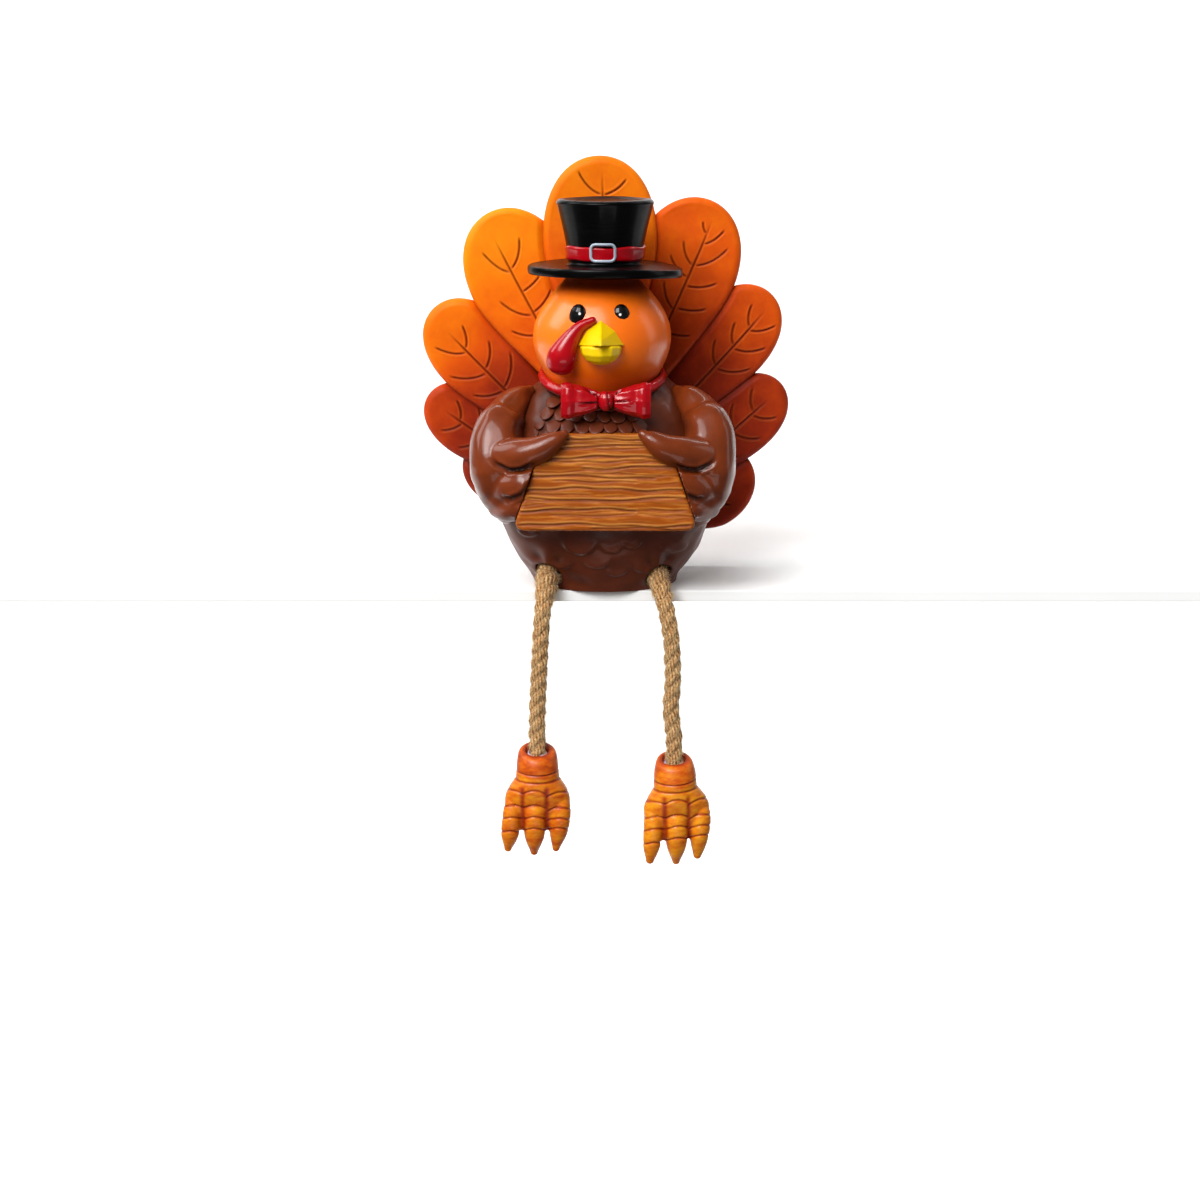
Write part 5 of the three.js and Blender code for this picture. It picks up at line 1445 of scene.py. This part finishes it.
FOOT_HALF_WIDTH, FOOT_HALF_DEPTH, FOOT_LENGTH, FOOT_HOLE, TOE_RADIUS = 12.3, 7.6, 39.6, 9.0, 4.1
FOOT_TURNS = {"left": 0, "right": 8}
INSTEP_SHARES = (
    (0, 0, .38, .62), (.008, 0, .47, .76), (.03, 0, .535, .88), (.09, 0, .58, .96), (.18, 0, .605, .99),
    (.27, 0, .625, .98), (.315, 0, .7, .97), (.38, 0, .845, .96), (.435, 0, .92, .9), (.5, 0, .945, .8),
    (.58, -.01, .93, .66), (.7, -.03, .81, .46), (.77, -.05, .66, .26),
)
TOE_SHARES = (
    ((-.68, .45, -.08, .62), (-.72, .6, -.24, .84), (-.8, .8, -.16, .76), (-.86, .94, -.06, .34)),
    ((-.08, .43, -.2, .7), (-.08, .6, -.36, 1), (-.09, .82, -.24, .86), (-.1, .97, -.08, .34)),
    ((.62, .45, -.08, .68), (.66, .58, -.22, .9), (.6, .78, -.16, .78), (.53, .94, -.06, .34)),
)
# How far the collar's top leans to the front, and its hole's depth and radius.
COLLAR_LEAN = 0.3
HOLE_SUNK, COLLAR_HOLE = 4.2, 3.7
# Grooves in millimetres under the collar's top: two round the collar, then four on each toe.
COLLAR_GROOVES = (7.8, 11.3)
TOE_GROOVES = ((14.9, 20.3, 24.6, 29.8), (14.3, 20, 24, 28.4), (15.4, 21, 24.9, 28.6))
VALLEY_SHARES = (-.42, .28)
# How far towards its red-brown end each foot's paint is; the right foot's is lower partly as painted light,
# lifting the shade that falls on it.
FOOT_RIPE = {"left": 0.53, "right": 0.44}
# How much the ring of glue is drawn in, and how far it sinks into the collar.
GLUE_SQUEEZE, GLUE_SUNK = (0.84, 0.84, 1), 1.1


def lean_collar(points):
    """Leans the collar's top to the front, less and less down the collar."""
    x, y, z = points.T
    return np.stack([x, y, z + COLLAR_LEAN * (y - 3.5) * (1 - ease(-z / 12))], 1)


def foot_skin(side):
    """One foot in its own frame, hanging down from the collar's top."""
    angle = full_turn(72)
    down, out, wide, thick = (column[:, None] for column in refine(INSTEP_SHARES, 90).T)
    parts = [closed(np.stack([
        FOOT_HALF_WIDTH * (out + wide * np.cos(angle)), FOOT_HALF_DEPTH * thick * np.sin(angle),
        np.repeat(-FOOT_LENGTH * down, len(angle), 1),
    ], -1))]
    toes = [np.array(shares).T for shares in TOE_SHARES]
    for across, down, deep, girth in toes:
        path = np.stack([FOOT_HALF_WIDTH * across, FOOT_HALF_DEPTH * deep, -FOOT_LENGTH * down], 1)
        parts.append(limb(path, TOE_RADIUS * girth[:, None] * (1, 1)))
    points, faces = fuse(parts, 0.34, 5)
    normal = quad_normals(points, faces)
    x, y, z = points.T
    depth = -z
    front = ease(-normal[:, 1] * 1.6 + 0.35)
    cut, valley = np.zeros((2, len(x)))
    for place in COLLAR_GROOVES:
        smile = 0.9 * (1 - (x / FOOT_HALF_WIDTH) ** 2)
        cut = np.maximum(cut, bump(depth - place - smile + 0.5, 0.36))
    bounds = [FOOT_HALF_WIDTH * v for v in VALLEY_SHARES]
    toe = np.searchsorted(bounds, x)
    for k, (across, down, _, _) in enumerate(toes):
        off = x - np.interp(depth, FOOT_LENGTH * down, FOOT_HALF_WIDTH * across)
        near = (toe == k) * ease(4.6 - np.abs(off))
        for place in TOE_GROOVES[k]:
            arch = 1.3 * (off / 3.8) ** 2
            cut = np.maximum(cut, bump(depth - place - arch, 0.34) * near)
    for edge in bounds:
        valley = np.maximum(valley, bump(x - edge, 0.8) * ease((depth - 12.5) / 2) * front)
    push = 0.12 * waves(points, 6, SEED + len(side)) - mm("toe_groove") * cut * ease(front + 0.4)
    push -= 0.25 * valley
    points = points + push[:, None] * normal
    hole = 1 - ease((np.hypot(x, y) - COLLAR_HOLE) / 0.6)
    points[:, 2] -= HOLE_SUNK * hole * (depth < 3)
    # dark is red-brown paint and painted shade in the grooves, and painted shade between the toes and in the
    # rope hole.
    dark = np.clip(0.62 * cut * ease(front + 0.4) + 0.6 * valley + 0.9 * hole * (depth < 5), 0, 1)
    rim = 0.35 * bump(np.hypot(x, y) - 4.4, 0.8) * (depth < 3)
    ripe = FOOT_RIPE[side] + 0.12 * ease((depth - 33) / 6) + 0.2 * (1 - ease((depth - 6) / 5))
    # The paint turns redder in the valleys and grooves as painted shade, and in a ring round the hole's lip.
    marks = {"hollow": dark, "ripe": ripe + 0.3 * valley + 0.2 * cut + rim}
    return lean_collar(points), faces, marks


def make_feet():
    """Satin yellow-orange enamel rubbed with red-brown wash that stays in the grooves."""
    c = colours()
    tones = ((.2, c.foot_light), (.45, c.foot), (.7, "#C85408"), (.95, "#9C3408"))
    enamel = painted(
        "satin_yellow_enamel_foot", tones, c.foot_crease_wash_and_shade, (0.42, 0.15, 0.2, 0.25), 2.2, ripe=True, brush=0.95,
        stretch=(0.5, 0.5, 1.2),
    )
    glue = painted("set_glue", two_tones(c.glue, 0.8), "#8A7C90", (0.2, 0.4, 0.1, 0.5), 1.5)
    for side in ("left", "right"):
        route = np.array(ROPE_ROUTES[side + "_lower_rope"])
        up = unit(route[-2] - route[-1])
        top = route[-1] + FOOT_HOLE * up
        turn = Vector((0, 0, 1)).rotation_difference(Vector(up)).to_matrix()
        turn = np.array(turn @ Matrix.Rotation(math.radians(FOOT_TURNS[side]), 3, "Z"))
        node, body = side + "_foot", side + "_foot_end"
        points, faces, marks = foot_skin(side)
        make(node + "_skin", node, (points @ turn.T + top, faces), enamel, marks, body)
        points, faces = skin(node + "_glue", 0.25, 6)
        points = points + 0.2 * waves(points, 2.5, SEED)[:, None] * quad_normals(points, faces)
        flat = lean_collar((points - top) @ turn * GLUE_SQUEEZE - (0, 0, GLUE_SUNK))
        make(side + "_glue_ring", node + "_glue", (flat @ turn.T + top, faces), glue, body=body)


def operator(name, label, text, work):
    """An operator class for one group of pieces."""

    def execute(self, context):
        """Does the work, and fails with it."""
        work()
        return {"FINISHED"}

    return type(
        "FIGURE_OT_" + name, (bpy.types.Operator,),
        {"bl_idname": "figure." + name, "bl_label": label, "__doc__": text, "execute": execute},
    )


OPERATORS = [
    operator("stage", "Stage", "Makes the camera, shelf and lights", make_stage),
    operator("ropes", "Rope legs", "Lays the four rope pieces along their routes", make_ropes),
    operator("body", "Body", "Makes the body's skin and its chest feathers", make_body),
    operator("feathers", "Tail feathers", "Makes the nine tail feathers and the rump", make_feathers),
    operator("head", "Head", "Makes the head's skin", make_head),
    operator("face", "Face", "Makes the eyes, beak and snood", make_face),
    operator("hat", "Hat", "Makes the hat, its band and buckle", make_hat),
    operator("bow", "Bow", "Makes the neck band and bow", make_bow),
    operator("board", "Sign board", "Makes the bare sign board", make_board),
    operator("wings", "Wings", "Makes the two wings", make_wings),
    operator("feet", "Feet", "Makes the feet and the glue rings", make_feet),
]


class FIGURE_PT_panel(bpy.types.Panel):
    """Lists the figure's operators, sizes and colours."""

    bl_label = "Turkey Figure"
    bl_idname = "FIGURE_PT_panel"
    bl_space_type = "VIEW_3D"
    bl_region_type = "UI"
    bl_category = "Turkey"

    def draw(self, context):
        """A button for each operator, then the sizes and the colours."""
        column = self.layout.column(align=True)
        for maker in OPERATORS:
            column.operator(maker.bl_idname)
        for group in (context.scene.figure_sizes, context.scene.figure_colours):
            box = self.layout.box().column(align=True)
            for name in group.__annotations__:
                box.prop(group, name)


CLASSES = [FigureSizes, FigureColours, *OPERATORS, FIGURE_PT_panel]


def register():
    """Adds the classes, and the sizes and colours to every scene."""
    for item in CLASSES:
        bpy.utils.register_class(item)
    bpy.types.Scene.figure_sizes = PointerProperty(type=FigureSizes)
    bpy.types.Scene.figure_colours = PointerProperty(type=FigureColours)


def unregister():
    """Takes away what register adds."""
    del bpy.types.Scene.figure_colours
    del bpy.types.Scene.figure_sizes
    for item in reversed(CLASSES):
        bpy.utils.unregister_class(item)


def main():
    """Builds the whole scene and writes down how large it is."""
    register()
    for maker in OPERATORS:
        group, name = maker.bl_idname.split(".")
        getattr(getattr(bpy.ops, group), name)()


if __name__ == "__main__":
    main()
